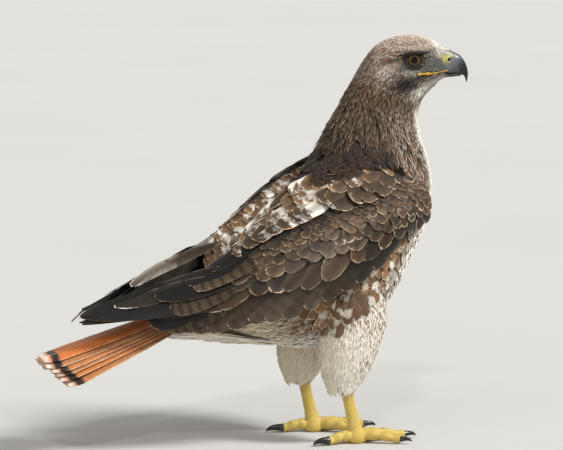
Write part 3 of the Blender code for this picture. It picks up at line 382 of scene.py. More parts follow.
def opaque(colour):
    """A colour with the fourth number that a shader's socket wants."""
    return (*colour, 1.0)


def tint(label, shade, about):
    """A colour that can be changed in the sidebar."""
    return bpy.props.FloatVectorProperty(
        name=label, description=about, default=srgb(*shade), subtype="COLOR", size=3, min=0.0, max=1.0)


def size(label, metres, about):
    """A length that can be changed in the sidebar."""
    return bpy.props.FloatProperty(
        name=label, description=about, default=metres, unit="LENGTH", precision=5, min=0.0)


class HawkColours(bpy.types.PropertyGroup):
    """Colours of the plumage and bare parts."""

    crown: tint("Crown", (146, 118, 97), "Centre of the crown's feathers")
    crown_edge: tint("Crown edge", (252, 244, 232), "Edges of the crown's feathers")
    face: tint("Face", (84, 69, 55), "Cheek and ear feathers")
    neck: tint("Neck", (68, 55, 41), "Centre of the neck's feathers")
    neck_edge: tint("Neck edge", (144, 122, 96), "Edges of the neck's feathers")
    rufous: tint("Rufous", (146, 94, 56), "Warm edges on neck and breast")
    # The mantle is darker than its feathers alone, partly its own dark brown and partly painted shade between
    # the neck and the scapulars.
    mantle: tint("Mantle", (40, 32, 23), "Upper back")
    covert: tint("Coverts", (90, 72, 54), "Small feathers of the wing")
    covert_edge: tint("Covert edge", (206, 186, 160), "Fringes of the wing's feathers")
    # Bloom is the grey of a painted sheen on the middle of the wing, and the pale grey of the far wing's
    # feathers.
    bloom: tint("Bloom", (128, 118, 106), "Greyish worn middle of the wing")
    secondary: tint("Secondaries", (76, 63, 47), "Barred flight feathers of the arm")
    primary: tint("Primaries", (24, 21, 18), "Blackish flight feathers of the hand")
    white: tint("White", (232, 228, 218), "White patches and throat")
    cream: tint("Cream", (212, 200, 172), "Vent and far thigh")
    flank: tint("Flank", (128, 96, 66), "Brown of flank and breast side")
    tail: tint("Tail", (206, 116, 52), "Brick red of the tail")
    tail_side: tint("Tail side", (164, 118, 80), "Duller outer tail feathers")
    band: tint("Tail band", (40, 33, 30), "Dark band before the tail's tip")
    lore: tint("Lores", (100, 103, 95), "Bare bristly skin before the eye")
    gape: tint("Gape", (224, 172, 40), "Fleshy corner of the mouth")
    cere: tint("Cere", (176, 164, 84), "Waxy skin over the bill's base")
    horn_base: tint("Bill base", (108, 112, 112), "Blue-grey base of the bill")
    horn: tint("Horn", (24, 24, 28), "Bill tip and claws")
    iris: tint("Iris", (88, 64, 38), "Brown of the eye")
    leg: tint("Leg skin", (206, 178, 88), "Scaly yellow of feet and shanks")


class HawkSizes(bpy.types.PropertyGroup):
    """Sizes of the coat and the stage."""

    body_depth: size("Body coat", 0.0026, "How deep the skin lies under the body's outline")
    head_depth: size("Head coat", 0.0009, "How deep the skin lies under the head's outline")
    body_feather: size("Body feather", 0.0064, "Spacing of the feathers on the breast")
    neck_feather: size("Neck feather", 0.0022, "Spacing of the feathers on the neck")
    head_feather: size("Head feather", 0.0012, "Spacing of the feathers on the crown")
    thigh_feather: size("Thigh feather", 0.0016, "Spacing of the wisps on the thighs")
    camera_distance: size("Camera distance", 4.5, "How far the camera stands from the bird")
    pixel: size("Picture scale", 0.00094, "Real size of one pixel of the picture at the bird")


def unit(vectors):
    """The vectors at length one."""
    return vectors / np.maximum(np.linalg.norm(vectors, axis=-1, keepdims=True), 1e-9)


def soft(value, low, high):
    """A smooth step from 0 at low to 1 at high."""
    t = np.clip((value - low) / (high - low), 0.0, 1.0)
    return t * t * (3 - 2 * t)


def bump(value, middle, spread):
    """A smooth hump of height 1."""
    return np.exp(-(((value - middle) / spread) ** 2))


def circle(count):
    """Evenly spaced angles round a full turn."""
    return np.linspace(0, 2 * math.pi, count, endpoint=False)


def taps(count, place):
    """For each place along rows: the four rows that a smooth curve reads, and their weights."""
    place = np.asarray(place, float)
    inside = np.clip(place, 0.0, count - 1.0)
    first = np.minimum(inside.astype(int), count - 2)
    t = inside - first
    beyond = place - inside
    index = np.stack([np.maximum(first - 1, 0), first, first + 1, np.minimum(first + 2, count - 1)], axis=-1)
    weight = 0.5 * np.stack([
        -t + 2 * t**2 - t**3, 2 - 5 * t**2 + 3 * t**3, t + 4 * t**2 - 3 * t**3, t**3 - t**2], axis=-1)
    weight[..., 1] -= beyond
    weight[..., 2] += beyond
    return index, weight


def spline(rows, place):
    """A smooth curve through the rows, read at place, which counts rows from zero."""
    index, weight = taps(len(rows), place)
    return np.einsum("...k,...kc->...c", weight, rows[index])


def turned(points, angle):
    """Points turned about the neck's vertical axis, towards the bird's right."""
    x, y = points[..., 0] - TURN_AXIS_X, points[..., 1]
    cos, sin = np.cos(angle), np.sin(angle)
    return np.stack([TURN_AXIS_X + x * cos + y * sin, y * cos - x * sin, points[..., 2]], axis=-1)


def mouth_line(x):
    """The height of the mouth's line at x, on the unturned head."""
    return np.interp(x, (MOUTH_CORNER[0], MOUTH_FRONT[0]), (MOUTH_CORNER[1], MOUTH_FRONT[1]))


def relief(points):
    """How far the head stands out at points of the unturned head: eye dishes, brows, lores and cheeks."""
    x, y, z = points[..., 0], np.abs(points[..., 1]), points[..., 2]
    dish = -DISH_DEPTH * np.exp(-((((x - EYE_CENTRE[0]) / 10.5) ** 2 + ((z - 357.4) / 8.4) ** 2) ** 1.5))
    share = np.clip((x - BROW_BACK[0]) / (BROW_FRONT[0] - BROW_BACK[0]), 0.0, 1.0)
    brow_z = BROW_BACK[1] + (BROW_FRONT[1] - BROW_BACK[1]) * share
    brow = BROW_HEIGHT * np.sin(np.pi * share) ** 0.5 * bump(z, brow_z + 1.3, 2.6)
    lores = -LORE_DEPTH * bump(x, 173.0, 8.0) * bump(z, 355.0, 6.0)
    cheek = CHEEK_HEIGHT * bump(x, 146.0, 12.0) * bump(z, 341.0, 7.0)
    mouth = -MOUTH_DEPTH * bump(z, mouth_line(x), 1.6) * soft(x, 156.0, 163.0)
    return (dish + brow + lores + cheek + mouth) * soft(y, 5.0, 12.0)


def oval(turns):
    """Shares of a section's half sizes at angles from its back: towards the front, and sideways."""
    cos, sin = np.cos(turns), np.sin(turns)
    return -np.sign(cos) * np.abs(cos) ** SECTION_POWER, np.sign(sin) * np.abs(sin) ** SECTION_POWER


def straight_body(s, a):
    """A place on the body's outline before the neck's twist: s along the spine, a round it from the back."""
    row = spline(BODY_RINGS, s)
    along, across = oval(a)
    across = across * (1 - row[..., 5] * (1 + np.cos(a)) / 2)
    x = (row[..., 0] + row[..., 2] + along * (row[..., 2] - row[..., 0])) / 2
    z = (row[..., 1] + row[..., 3] + along * (row[..., 3] - row[..., 1])) / 2
    points = np.stack([x, across * row[..., 4], z], axis=-1)
    centre = np.stack([(row[..., 0] + row[..., 2]) / 2, 0 * x, (row[..., 1] + row[..., 3]) / 2], axis=-1)
    return points + unit(points - centre) * (relief(points) * soft(s, 11.5, 13.0))[..., None]


def body_turn(s):
    """How far the spine is twisted at a place along it."""
    return HEAD_TURN * soft(s, TURN_STARTS, NECK_END)


def body_place(s, a):
    """A place on the body's outline."""
    return turned(straight_body(s, a), body_turn(s))


def on_head(points):
    """Places given on the unturned head, on the turned one."""
    return turned(np.asarray(points, float), HEAD_TURN)


def wing_place(u, v):
    """A place on the right wing's outer surface: u counts columns and v rows of its grid."""
    columns, across = taps(WING_GRID.shape[0], u)
    rows, down = taps(WING_GRID.shape[1], v)
    patch = WING_GRID[columns[..., :, None], rows[..., None, :]]
    return np.einsum("...i,...j,...ijc->...c", across, down, patch)


def back_place(u, q):
    """A place between the right wing's upper edge (q 0) and the midline of the back (q -1)."""
    edge = wing_place(u, 0.12 + 0 * u)
    sink = (0.0, 0.0, 1.0) * (6.0 + 2.0 * u[..., None])
    middle = edge * (1.0, 0.0, 1.0) - np.array([0.0, 0.5, 0.0]) - sink
    share = -q[..., None]
    return edge * (1 - share) + middle * share + (0.0, 0.0, 2.0) * np.sin(np.pi * share)


def thigh_place(t, a):
    """A place on a thigh that stands on the midplane: t down its rings and a round it."""
    row = spline(THIGH_RINGS, t)
    return np.stack([row[..., 0] + row[..., 2] * np.cos(a), row[..., 3] * np.sin(a), row[..., 1]], axis=-1)


def tail_place(distance, lateral, height):
    """A place in the tail's own frame: along it, to its left and above its top surface."""
    droop = lateral**2 / (2 * TAIL_ROOF_RADIUS)
    cos, sin = math.cos(TAIL_ROLL), math.sin(TAIL_ROLL)
    y = lateral * cos - (height - droop) * sin
    up = lateral * sin + (height - droop) * cos
    x = TAIL_ROOT[0] - distance * math.cos(TAIL_SLOPE) - up * math.sin(TAIL_SLOPE)
    z = TAIL_ROOT[2] - distance * math.sin(TAIL_SLOPE) + up * math.cos(TAIL_SLOPE)
    return np.stack(np.broadcast_arrays(x, y, z), axis=-1)


def framed(place, p, q, step=0.02):
    """Places on a surface with their outward normals and the two directions along it."""
    along_p = (place(p + step, q) - place(p - step, q)) / (2 * step)
    along_q = (place(p, q + step) - place(p, q - step)) / (2 * step)
    return place(p, q), unit(np.cross(along_p, along_q)), along_p, along_q


def leg_shift(side):
    """Where a leg stands from the midplane, for side -1 (right) or 1 (left)."""
    return np.array([0.0 if side < 0 else LEFT_LEG_SHIFT, side * LEG_SPREAD, 0.0])


def sided(points, side):
    """Points of the right wing as they lie on the given side, where the left one is carried higher."""
    if side < 0:
        return points
    points = points * (1.0, -1.0, 1.0)
    lift = np.interp(points[..., 0], LEFT_WING_LIFT[:, 0], LEFT_WING_LIFT[:, 1])
    return points + lift[..., None] * (0.0, 0.0, 1.0)


def even(gap):
    """The same spacing everywhere."""
    return lambda p, q: gap + 0 * p


def nearest_of(points):
    """A tree that finds which of the points lie near a place."""
    tree = KDTree(len(points))
    for index, point in enumerate(points):
        tree.insert(point, index)
    tree.balance()
    return tree


def scattered(place, p_range, q_range, spacing, tries, seed):
    """Evenly strewn (p, q) on a surface, about spacing(p, q) millimetres apart."""
    rng = np.random.default_rng(seed)
    p, q = rng.uniform(*p_range, tries), rng.uniform(*q_range, tries)
    _, _, along_p, along_q = framed(place, p, q)
    area = np.linalg.norm(np.cross(along_p, along_q), axis=-1) / np.maximum(spacing(p, q), 0.1) ** 2
    chosen = rng.uniform(0, 1, tries) < area / np.percentile(area, 98)
    p, q = p[chosen], q[chosen]
    points, gaps = place(p, q), spacing(p, q)
    tree = nearest_of(points)
    taken, kept = bytearray(len(p)), []
    for index, point in enumerate(points):
        if taken[index]:
            continue
        kept.append(index)
        for _, near, _ in tree.find_range(point, gaps[index]):
            taken[near] = 1
    return p[kept], q[kept]


def linked(name, data):
    """An object for a mesh, light or camera, in the scene."""
    piece = bpy.data.objects.new(name, data)
    bpy.context.scene.collection.objects.link(piece)
    return piece


def mesh_of(name, points, corners, starts):
    """A mesh from points in millimetres, its faces' corners in one row and where each face starts."""
    mesh = bpy.data.meshes.new(name)
    mesh.vertices.add(len(points))
    mesh.vertices.foreach_set("co", ((points + ORIGIN_SHIFT) * MM).astype(np.float32).ravel())
    mesh.loops.add(len(corners))
    mesh.polygons.add(len(starts))
    mesh.polygons.foreach_set("loop_start", starts.astype(np.int32))
    mesh.polygons.foreach_set("vertices", corners.astype(np.int32))
    mesh.update(calc_edges=True)
    mesh.shade_smooth()
    return mesh


def store(mesh, name, kind, values):
    """Writes one value a point into a named attribute of the mesh."""
    field = {"FLOAT": "value", "FLOAT_VECTOR": "vector", "FLOAT_COLOR": "color"}[kind]
    mesh.attributes.new(name, kind, "POINT").data.foreach_set(field, values.astype(np.float32).ravel())


def placed(piece, material, *nodes, slot=None):
    """Gives a piece its material, lets it ride, and hides the solids that it stands for."""
    piece.data.materials.clear()
    piece.data.materials.append(material)
    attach(piece, "root")
    if nodes:
        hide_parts(*nodes)
    return piece


class Coat:
    """Feathers that are gathered and then made one mesh. Each is a thin closed vane."""

    def __init__(self, name, seed):
        self.name = name
        self.rng = np.random.default_rng(seed)
        self.points, self.corners, self.starts = [], [], []
        self.fields = {"vane": [], "size": [], "ground": [], "inner": [], "fringe": []}
        self.maps = []
        self.count = 0
        self.loops = 0

    def faces(self, number, rows, columns):
        """The faces of number vanes of rows by columns points, added after those already there."""
        index = np.arange(rows * columns).reshape(rows, columns)
        a, b, c, d = index[:-1, :-1], index[1:, :-1], index[1:, 1:], index[:-1, 1:]
        over = np.stack([a, b, c, d], axis=-1).reshape(-1, 4)
        under = np.stack([index[:-1, 0], index[:-1, -1], index[1:, -1], index[1:, 0]], axis=-1)
        sides = np.concatenate([over, under]).ravel()
        caps = np.concatenate([index[0], index[-1, ::-1]])
        pattern = np.concatenate([sides, caps])
        sizes = np.concatenate([np.full(len(sides) // 4, 4), [columns, columns]])
        starts = np.concatenate([[0], np.cumsum(sizes)[:-1]])
        shift = np.arange(number)[:, None]
        self.corners.append((pattern[None] + self.count + shift * rows * columns).ravel())
        self.starts.append((starts[None] + self.loops + shift * len(pattern)).ravel())
        self.count += number * rows * columns
        self.loops += number * len(pattern)

    def add(self, centre, normals, width, shape, look, root_map, patch, camber=0.5, tilt=0.0, curve=0.01,
            columns=5, ragged=0.08, carried=None):
        """Adds vanes along centre lines (vane, station, xyz) with the given widths and look.

        camber, tilt and curve bend a vane across its width, columns is its number of points there, ragged
        is how frayed its outline is, and each takes a patch of the map round its place in root_map.
        """
        stations, shares = shape
        number, rows = centre.shape[:2]
        across = np.linspace(-1.0, 1.0, columns)
        length = np.linalg.norm(np.diff(centre, axis=1), axis=2).sum(1)
        along = unit(np.gradient(centre, axis=1))
        side = unit(np.cross(normals, along))
        normals = np.cross(along, side)
        half = 0.5 * np.broadcast_to(width, (number,))[:, None] * shares
        offset = half[..., None] * across
        offset = offset * (1 + ragged * self.rng.uniform(-1, 1, offset.shape) * np.abs(across))
        slip = ragged * self.rng.uniform(-1, 0.4, offset.shape) * (stations[:, None] ** 4)
        slip = slip * RAGGED_TIP * half.max(1)[:, None, None]
        height = camber * (1 - across**2) + tilt * offset - curve * offset**2
        grid = centre[:, :, None] + side[:, :, None] * offset[..., None]
        grid = grid + normals[:, :, None] * height[..., None] + along[:, :, None] * slip[..., None]
        if carried is not None:
            grid = carried(grid)
            if carried.flips:
                grid = grid[:, :, ::-1]
        ones = np.ones((number, rows, columns))
        seed = self.rng.uniform(0, 1, number)[:, None, None] * ones
        bars = np.broadcast_to(look["bars"], (number,))[:, None, None] * ones
        self.fields["vane"].append(np.stack([
            across * ones, stations[:, None] * ones, half[..., None] * ones], axis=-1).reshape(-1, 3))
        long = length[:, None, None] * ones
        self.fields["size"].append(np.stack([long, seed, bars], axis=-1).reshape(-1, 3))
        for name in ("ground", "inner", "fringe"):
            value = np.broadcast_to(look[name], (number, 4))[:, None, None]
            self.fields[name].append((value * ones[..., None]).reshape(-1, 4))
        spot = np.stack([across * 0.5 * ones, (stations[:, None] - 0.5) * ones], axis=-1)
        self.maps.append((root_map[:, None, None] + patch * spot).reshape(-1, 2))
        self.points.append(grid.reshape(-1, 3))
        self.faces(number, rows, columns)

    def made(self, material, *nodes, slot=None):
        """The gathered feathers as one piece."""
        corners = np.concatenate(self.corners)
        mesh = mesh_of(self.name, np.concatenate(self.points), corners, np.concatenate(self.starts))
        for name, values in self.fields.items():
            kind = "FLOAT_VECTOR" if name in ("vane", "size") else "FLOAT_COLOR"
            store(mesh, name, kind, np.concatenate(values))
        layer = mesh.uv_layers.new(name="OFBake")
        spots = np.clip(np.concatenate(self.maps), 0.002, 0.998)
        layer.data.foreach_set("uv", spots[corners].astype(np.float32).ravel())
        mesh.set_sharp_from_angle(angle=math.radians(75))
        return placed(linked(self.name, mesh), material, *nodes, slot=slot)


def traced(place, roots, tips, shape, lift):
    """Centre lines of vanes bedded on a surface from roots to tips, (p, q) each, and the normals there."""
    stations = shape[0]
    p = roots[0][:, None] + (tips[0] - roots[0])[:, None] * stations
    q = roots[1][:, None] + (tips[1] - roots[1])[:, None] * stations
    points, normals, _, _ = framed(place, p, q)
    lift = np.atleast_2d(np.asarray(lift, float))
    places = np.linspace(0, 1, lift.shape[-1])
    heights = np.array([np.interp(stations, places, row) for row in lift])
    return points + normals * heights[..., None], normals


def painted(count, ground, inner=None, fringe=None, streak=0.0, threshold=-1.0, rim=0.0, bars=0.0):
    """The look of count feathers: the vane's colour, that of its inner part and of its fringe.

    streak is how dark the middle is, threshold how far along the inner colour reaches, rim the fringe's
    width in millimetres, and bars how strongly the vane is barred.
    """
    inner = ground if inner is None else inner
    fringe = ground if fringe is None else fringe

    def column(colour, extra):
        colour = np.broadcast_to(np.asarray(colour, float), (count, 3))
        return np.concatenate([colour, np.broadcast_to(np.asarray(extra, float), (count,))[:, None]], axis=1)

    return {"ground": column(ground, streak), "inner": column(inner, threshold),
            "fringe": column(fringe, rim), "bars": np.broadcast_to(np.asarray(bars, float), (count,))}


def mixed(first, second, share):
    """Two colours mixed, share by share."""
    share = np.asarray(share, float)[..., None]
    return np.asarray(first, float) * (1 - share) + np.asarray(second, float) * share


class Tree:
    """A material's nodes, made by short calls that return sockets."""

    def __init__(self, name, roughness=0.6, specular=0.4, sheen=0.0, coat=0.0):
        self.material = bpy.data.materials.new(name)
        self.material.use_nodes = True
        self.nodes = self.material.node_tree.nodes
        self.links = self.material.node_tree.links
        self.shader = self.nodes["Principled BSDF"]
        self.set("Roughness", roughness)
        self.set("Specular IOR Level", specular)
        self.set("Sheen Weight", sheen)
        self.set("Coat Weight", coat)

    def set(self, socket, value):
        """Gives one of the shader's sockets a value or a link."""
        if isinstance(value, bpy.types.NodeSocket):
            self.links.new(value, self.shader.inputs[socket])
        else:
            self.shader.inputs[socket].default_value = value

    def feed(self, node, values):
        """Fills a node's sockets, by number, with values or links."""
        for index, value in values.items():
            if isinstance(value, bpy.types.NodeSocket):
                self.links.new(value, node.inputs[index])
            else:
                node.inputs[index].default_value = value

    def math(self, operation, *values):
        """One sum on numbers."""
        node = self.nodes.new("ShaderNodeMath")
        node.operation = operation
        self.feed(node, dict(enumerate(values)))
        return node.outputs[0]

    def times(self, first, second):
        """Two numbers multiplied."""
        return self.math("MULTIPLY", first, second)

    def scaled(self, value, factor, added):
        """A number times a factor, with another number added."""
        return self.math("MULTIPLY_ADD", value, factor, added)

    def step(self, value, low, high, start=0.0, end=1.0):
        """A smooth step of a value between two bounds."""
        node = self.nodes.new("ShaderNodeMapRange")
        node.interpolation_type = "SMOOTHSTEP"
        self.feed(node, {0: value, 1: low, 2: high, 3: start, 4: end})
        return node.outputs[0]

    def mix(self, share, first, second, blend="MIX"):
        """Two colours mixed."""
        node = self.nodes.new("ShaderNodeMix")
        node.data_type = "RGBA"
        node.blend_type = blend
        self.feed(node, {0: share, 6: first, 7: second})
        return node.outputs[2]

    def shaded(self, colour, value):
        """A colour made darker or lighter by a number."""
        return self.mix(1.0, colour, self.join(value, value, value), "MULTIPLY")

    def swayed(self, value, noise, strength):
        """A value moved up and down by a noise around 0.5."""
        return self.scaled(self.math("SUBTRACT", noise, 0.5), strength, value)

    def attribute(self, name):
        """The named attribute's node."""
        node = self.nodes.new("ShaderNodeAttribute")
        node.attribute_name = name
        return node

    def split(self, vector):
        """A vector's three parts."""
        node = self.nodes.new("ShaderNodeSeparateXYZ")
        self.feed(node, {0: vector})
        return node.outputs

    def join(self, x, y, z):
        """A vector of three parts."""
        node = self.nodes.new("ShaderNodeCombineXYZ")
        self.feed(node, {0: x, 1: y, 2: z})
        return node.outputs[0]

    def noise(self, vector, scale, detail=2.0, roughness=0.55):
        """Smooth noise from 0 to 1 at a vector."""
        node = self.nodes.new("ShaderNodeTexNoise")
        self.feed(node, {0: vector, 2: scale, 3: detail, 4: roughness})
        return node.outputs[0]

    def cells(self, vector, scale):
        """Distance to the borders of random cells."""
        node = self.nodes.new("ShaderNodeTexVoronoi")
        node.feature = "DISTANCE_TO_EDGE"
        self.links.new(vector, node.inputs["Vector"])
        node.inputs["Scale"].default_value = scale
        return node.outputs[0]

    def place(self):
        """The place on the object, in metres."""
        return self.nodes.new("ShaderNodeTexCoord").outputs["Object"]

    def bumps(self, height, strength, distance):
        """Raises the surface by a height."""
        node = self.nodes.new("ShaderNodeBump")
        node.inputs["Strength"].default_value = strength
        node.inputs["Distance"].default_value = distance
        self.links.new(height, node.inputs["Height"])
        self.set("Normal", node.outputs[0])


def vane_parts(tree):
    """The numbers that every feather material reads: where a point lies on its own vane."""
    across, along, half = tree.split(tree.attribute("vane").outputs["Vector"])
    length, seed, bars = tree.split(tree.attribute("size").outputs["Vector"])
    wide = tree.math("ABSOLUTE", tree.times(across, half))
    deep = tree.times(along, length)
    rim = tree.math("MINIMUM", tree.math("SUBTRACT", half, wide), tree.math("SUBTRACT", length, deep))
    root = tree.math("SUBTRACT", deep, tree.times(wide, 0.9))
    shuffle = tree.times(seed, 61.0)
    barbs = tree.noise(tree.join(root, tree.times(wide, 0.16), shuffle), 0.8, 3.0, 0.7)
    blotch = tree.noise(tree.join(tree.times(across, half), deep, shuffle), 0.22, 3.0)
    return {"half": half, "along": along, "wide": wide, "deep": deep, "rim": rim, "length": length,
            "seed": seed, "bars": bars, "barbs": barbs, "blotch": blotch}


def feather_material(name, period=9.0, softness=0.9, centre=0.5, roughness=0.62, sheen=0.08, root_shade=0.62,
                     vary=0.36, edge_from=(0.35, 0.85, 0.3)):
    """A vane's finish: base and tip colour, streaked barbs, dark middle, worn pale fringe, bars and shaft.

    period is the spacing of bars, softness how frayed the fringe is, centre how strongly barbs show,
    root_shade how dark the painted shade at each root is, which also sets how much the tip is lightened
    as a painted highlight, and vary how much feathers differ. edge_from says where along the vane the
    fringe fades in, and how much of it there is before that.
    """
    tree = Tree(name, roughness, 0.2, sheen)
    v = vane_parts(tree)
    ground, inner, fringe = (tree.attribute(n) for n in ("ground", "inner", "fringe"))
    wavering = tree.swayed(v["along"], v["blotch"], 0.6)
    low = tree.math("SUBTRACT", inner.outputs["Alpha"], 0.08)
    high = tree.math("ADD", inner.outputs["Alpha"], 0.1)
    colour = tree.mix(tree.step(wavering, low, high), inner.outputs["Color"], ground.outputs["Color"])
    wave = tree.scaled(v["blotch"], 5.0, tree.times(v["deep"], 2 * math.pi / period))
    bar = tree.times(tree.step(tree.math("SINE", wave), -0.3, 0.7), v["bars"])
    colour = tree.mix(bar, colour, BAR_SHADE, "MULTIPLY")

    # Middles are darker than margins, more so on some feathers than on others.
    inside = tree.math("DIVIDE", v["rim"], tree.math("MAXIMUM", v["half"], 0.3))
    inside = tree.swayed(inside, v["barbs"], 0.7)
    strength = tree.times(tree.scaled(v["seed"], 0.5, 0.6), ground.outputs["Alpha"])
    dark = tree.times(tree.step(inside, 0.15, 0.85), strength)
    colour = tree.mix(dark, colour, MIDDLE_SHADE, "MULTIPLY")

    # Fringes are worn, patchy and strongest at the tip.
    width = fringe.outputs["Alpha"]
    worn = tree.swayed(v["rim"], v["barbs"], softness)
    edge = tree.step(worn, tree.times(width, 0.2), width, 1.0, 0.0)
    edge = tree.times(edge, tree.step(v["blotch"], 0.36, 0.58, 0.05, 1.0))
    edge = tree.times(edge, tree.step(v["along"], *edge_from, 1.0))
    colour = tree.mix(edge, colour, fringe.outputs["Color"])

    depth = tree.scaled(v["barbs"], centre * 1.6, 1.0 - centre * 0.8)
    tone = tree.scaled(v["seed"], vary, 1.0 - vary / 2)
    # Painted shade darkens each vane towards its root, where the feather over it would shade it, and a
    # painted highlight lightens its tip.
    lit = tree.step(v["along"], 0.1, 0.8, root_shade, 1.0 + 0.25 * (1 - root_shade))
    tree.set("Base Color", tree.shaded(colour, tree.times(tree.times(depth, tone), lit)))
    shaft = tree.step(v["wide"], 0.0, 0.35, 1.0, 0.0)
    tree.bumps(tree.scaled(v["barbs"], 1.2, shaft), 0.6, 0.0004)
    return tree.material


def tail_material(palette):
    """Brick red with a black band before a pale frayed tip, cream edges, and shafts painted paler, partly
    their own pale colour and partly a painted highlight.
    """
    tree = Tree("tail_feather", 0.5, 0.3, 0.1)
    v = vane_parts(tree)
    ground, fringe = tree.attribute("ground"), tree.attribute("fringe")
    left = tree.swayed(tree.math("SUBTRACT", v["length"], v["deep"]), v["barbs"], 7.0)
    left = tree.scaled(v["wide"], 0.3, left)
    band = tree.times(tree.step(left, 8.5, 11.0), tree.step(left, 16.0, 19.0, 1.0, 0.0))
    pale = tree.step(left, 4.0, 10.0, 0.9, 0.0)
    colour = tree.mix(pale, ground.outputs["Color"], opaque(palette.white))
    frayed = tree.scaled(v["barbs"], -1.6, v["rim"])
    edge = tree.step(frayed, 0.0, fringe.outputs["Alpha"], 1.0, 0.0)
    colour = tree.mix(edge, colour, fringe.outputs["Color"])
    colour = tree.mix(band, colour, opaque(palette.band))
    # The shafts are blended towards pale, partly their own colour and partly a painted highlight.
    shaft = tree.step(v["wide"], 0.3, 0.75, 1.0, 0.0)
    colour = tree.mix(tree.times(shaft, 0.5), colour, opaque(palette.covert_edge))
    depth = tree.scaled(v["barbs"], 0.9, 0.55)
    spots = tree.scaled(v["blotch"], 0.7, 0.65)
    tree.set("Base Color", tree.shaded(colour, tree.times(depth, spots)))
    tree.bumps(tree.scaled(v["barbs"], 0.8, shaft), 0.5, 0.0004)
    return tree.material


def skin_material():
    """Feathered skin, dark and rough between the feathers: its colour is darkened by a speckle as painted
    shade where it shows between them.
    """
    tree = Tree("skin", 0.9, 0.1)
    speckle = tree.noise(tree.place(), 700.0, 3.0)
    ground = tree.attribute("ground").outputs["Color"]
    # Painted shade: the ground colour is darkened by a speckle to between 0.35 and 1.05 of itself.
    tree.set("Base Color", tree.shaded(ground, tree.scaled(speckle, 0.7, 0.35)))
    tree.bumps(speckle, 0.6, 0.0006)
    return tree.material


def horn_material(name, base, tip, span, roughness=0.36):
    """Horn that darkens from base to tip over a span of the piece, with fine growth lines."""
    tree = Tree(name, roughness, 0.4, coat=0.12)
    tree.set("Coat Roughness", 0.2)
    grow = tree.attribute("grow").outputs["Fac"]
    lines = tree.noise(tree.join(tree.times(grow, 40.0), 0.0, 0.0), 1.0, 3.0)
    cloud = tree.noise(tree.place(), 260.0, 3.0)
    share = tree.swayed(grow, cloud, 0.35)
    colour = tree.mix(tree.step(share, *span), opaque(base), opaque(tip))
    tree.set("Base Color", tree.shaded(colour, tree.scaled(lines, 0.3, 0.85)))
    tree.bumps(tree.scaled(lines, 0.6, cloud), 0.12, 0.0002)
    return tree.material


def bare_material(name, colour, dark, scale, roughness=0.45):
    """Bare skin with fine scales, this many in a metre, and dark grooves between them."""
    tree = Tree(name, roughness, 0.4, coat=0.1)
    place = tree.place()
    groove = tree.step(tree.cells(place, scale), 0.0, 0.14)
    cloud = tree.noise(place, 120.0, 3.0)
    share = tree.scaled(groove, 0.35, tree.scaled(cloud, 0.4, 0.45))
    tree.set("Base Color", tree.mix(share, opaque(dark), opaque(colour)))
    tree.bumps(groove, 0.5, 0.0003)
    return tree.material


def lofted(rings):
    """Points and faces through rings of alike length, with the ends closed by fans."""
    sides, count = len(rings[0]), len(rings)
    points = np.concatenate([*rings, [np.mean(rings[0], axis=0)], [np.mean(rings[-1], axis=0)]])
    index = np.arange(count * sides).reshape(count, sides)
    ahead = np.roll(index, -1, axis=1)
    quads = np.stack([index[:-1], ahead[:-1], ahead[1:], index[1:]], axis=-1).reshape(-1, 4)
    faces = [tuple(quad) for quad in quads.tolist()]
    first, last = count * sides, count * sides + 1
    faces += [(first, b, a) for a, b in zip(index[0].tolist(), ahead[0].tolist())]
    faces += [(last, a, b) for a, b in zip(index[-1].tolist(), ahead[-1].tolist())]
    return points, faces


def solid(name, points, faces):
    """A smooth closed object from points in millimetres."""
    mesh = bpy.data.meshes.new(name)
    mesh.from_pydata((np.asarray(points, float) + ORIGIN_SHIFT) * MM, [], faces)
    tool = bmesh.new()
    tool.from_mesh(mesh)
    bmesh.ops.recalc_face_normals(tool, faces=tool.faces)
    if tool.calc_volume(signed=True) < 0:
        bmesh.ops.reverse_faces(tool, faces=tool.faces)
    tool.to_mesh(mesh)
    tool.free()
    mesh.shade_smooth()
    return linked(name, mesh)


def fused(base, extras):
    """The base and the extra pieces as one closed surface."""
    group = bpy.data.collections.new("extras")
    for extra in extras:
        group.objects.link(extra)
    join = base.modifiers.new("join", "BOOLEAN")
    join.operation = "UNION"
    join.operand_type = "COLLECTION"
    join.collection = group
    join.solver = "MANIFOLD"
    bpy.context.view_layer.update()
    made = bpy.data.meshes.new_from_object(base.evaluated_get(bpy.context.evaluated_depsgraph_get()))
    if not made.polygons:
        raise RuntimeError(f"The pieces of {base.name} could not be joined")
    base.modifiers.clear()
    base.data = made
    for extra in extras:
        bpy.data.objects.remove(extra)
    bpy.data.collections.remove(group)
    made.shade_smooth()
    return base


def coordinates(mesh):
    """A mesh's points in millimetres, before the shift to the origin."""
    flat = np.zeros(len(mesh.vertices) * 3, np.float32)
    mesh.vertices.foreach_get("co", flat)
    return flat.reshape(-1, 3).astype(float) / MM - ORIGIN_SHIFT


def from_back(a):
    """How far round the body a place lies, from 0 at the back to pi at the front, on both sides alike."""
    return np.abs(np.arctan2(np.sin(a), np.cos(a)))


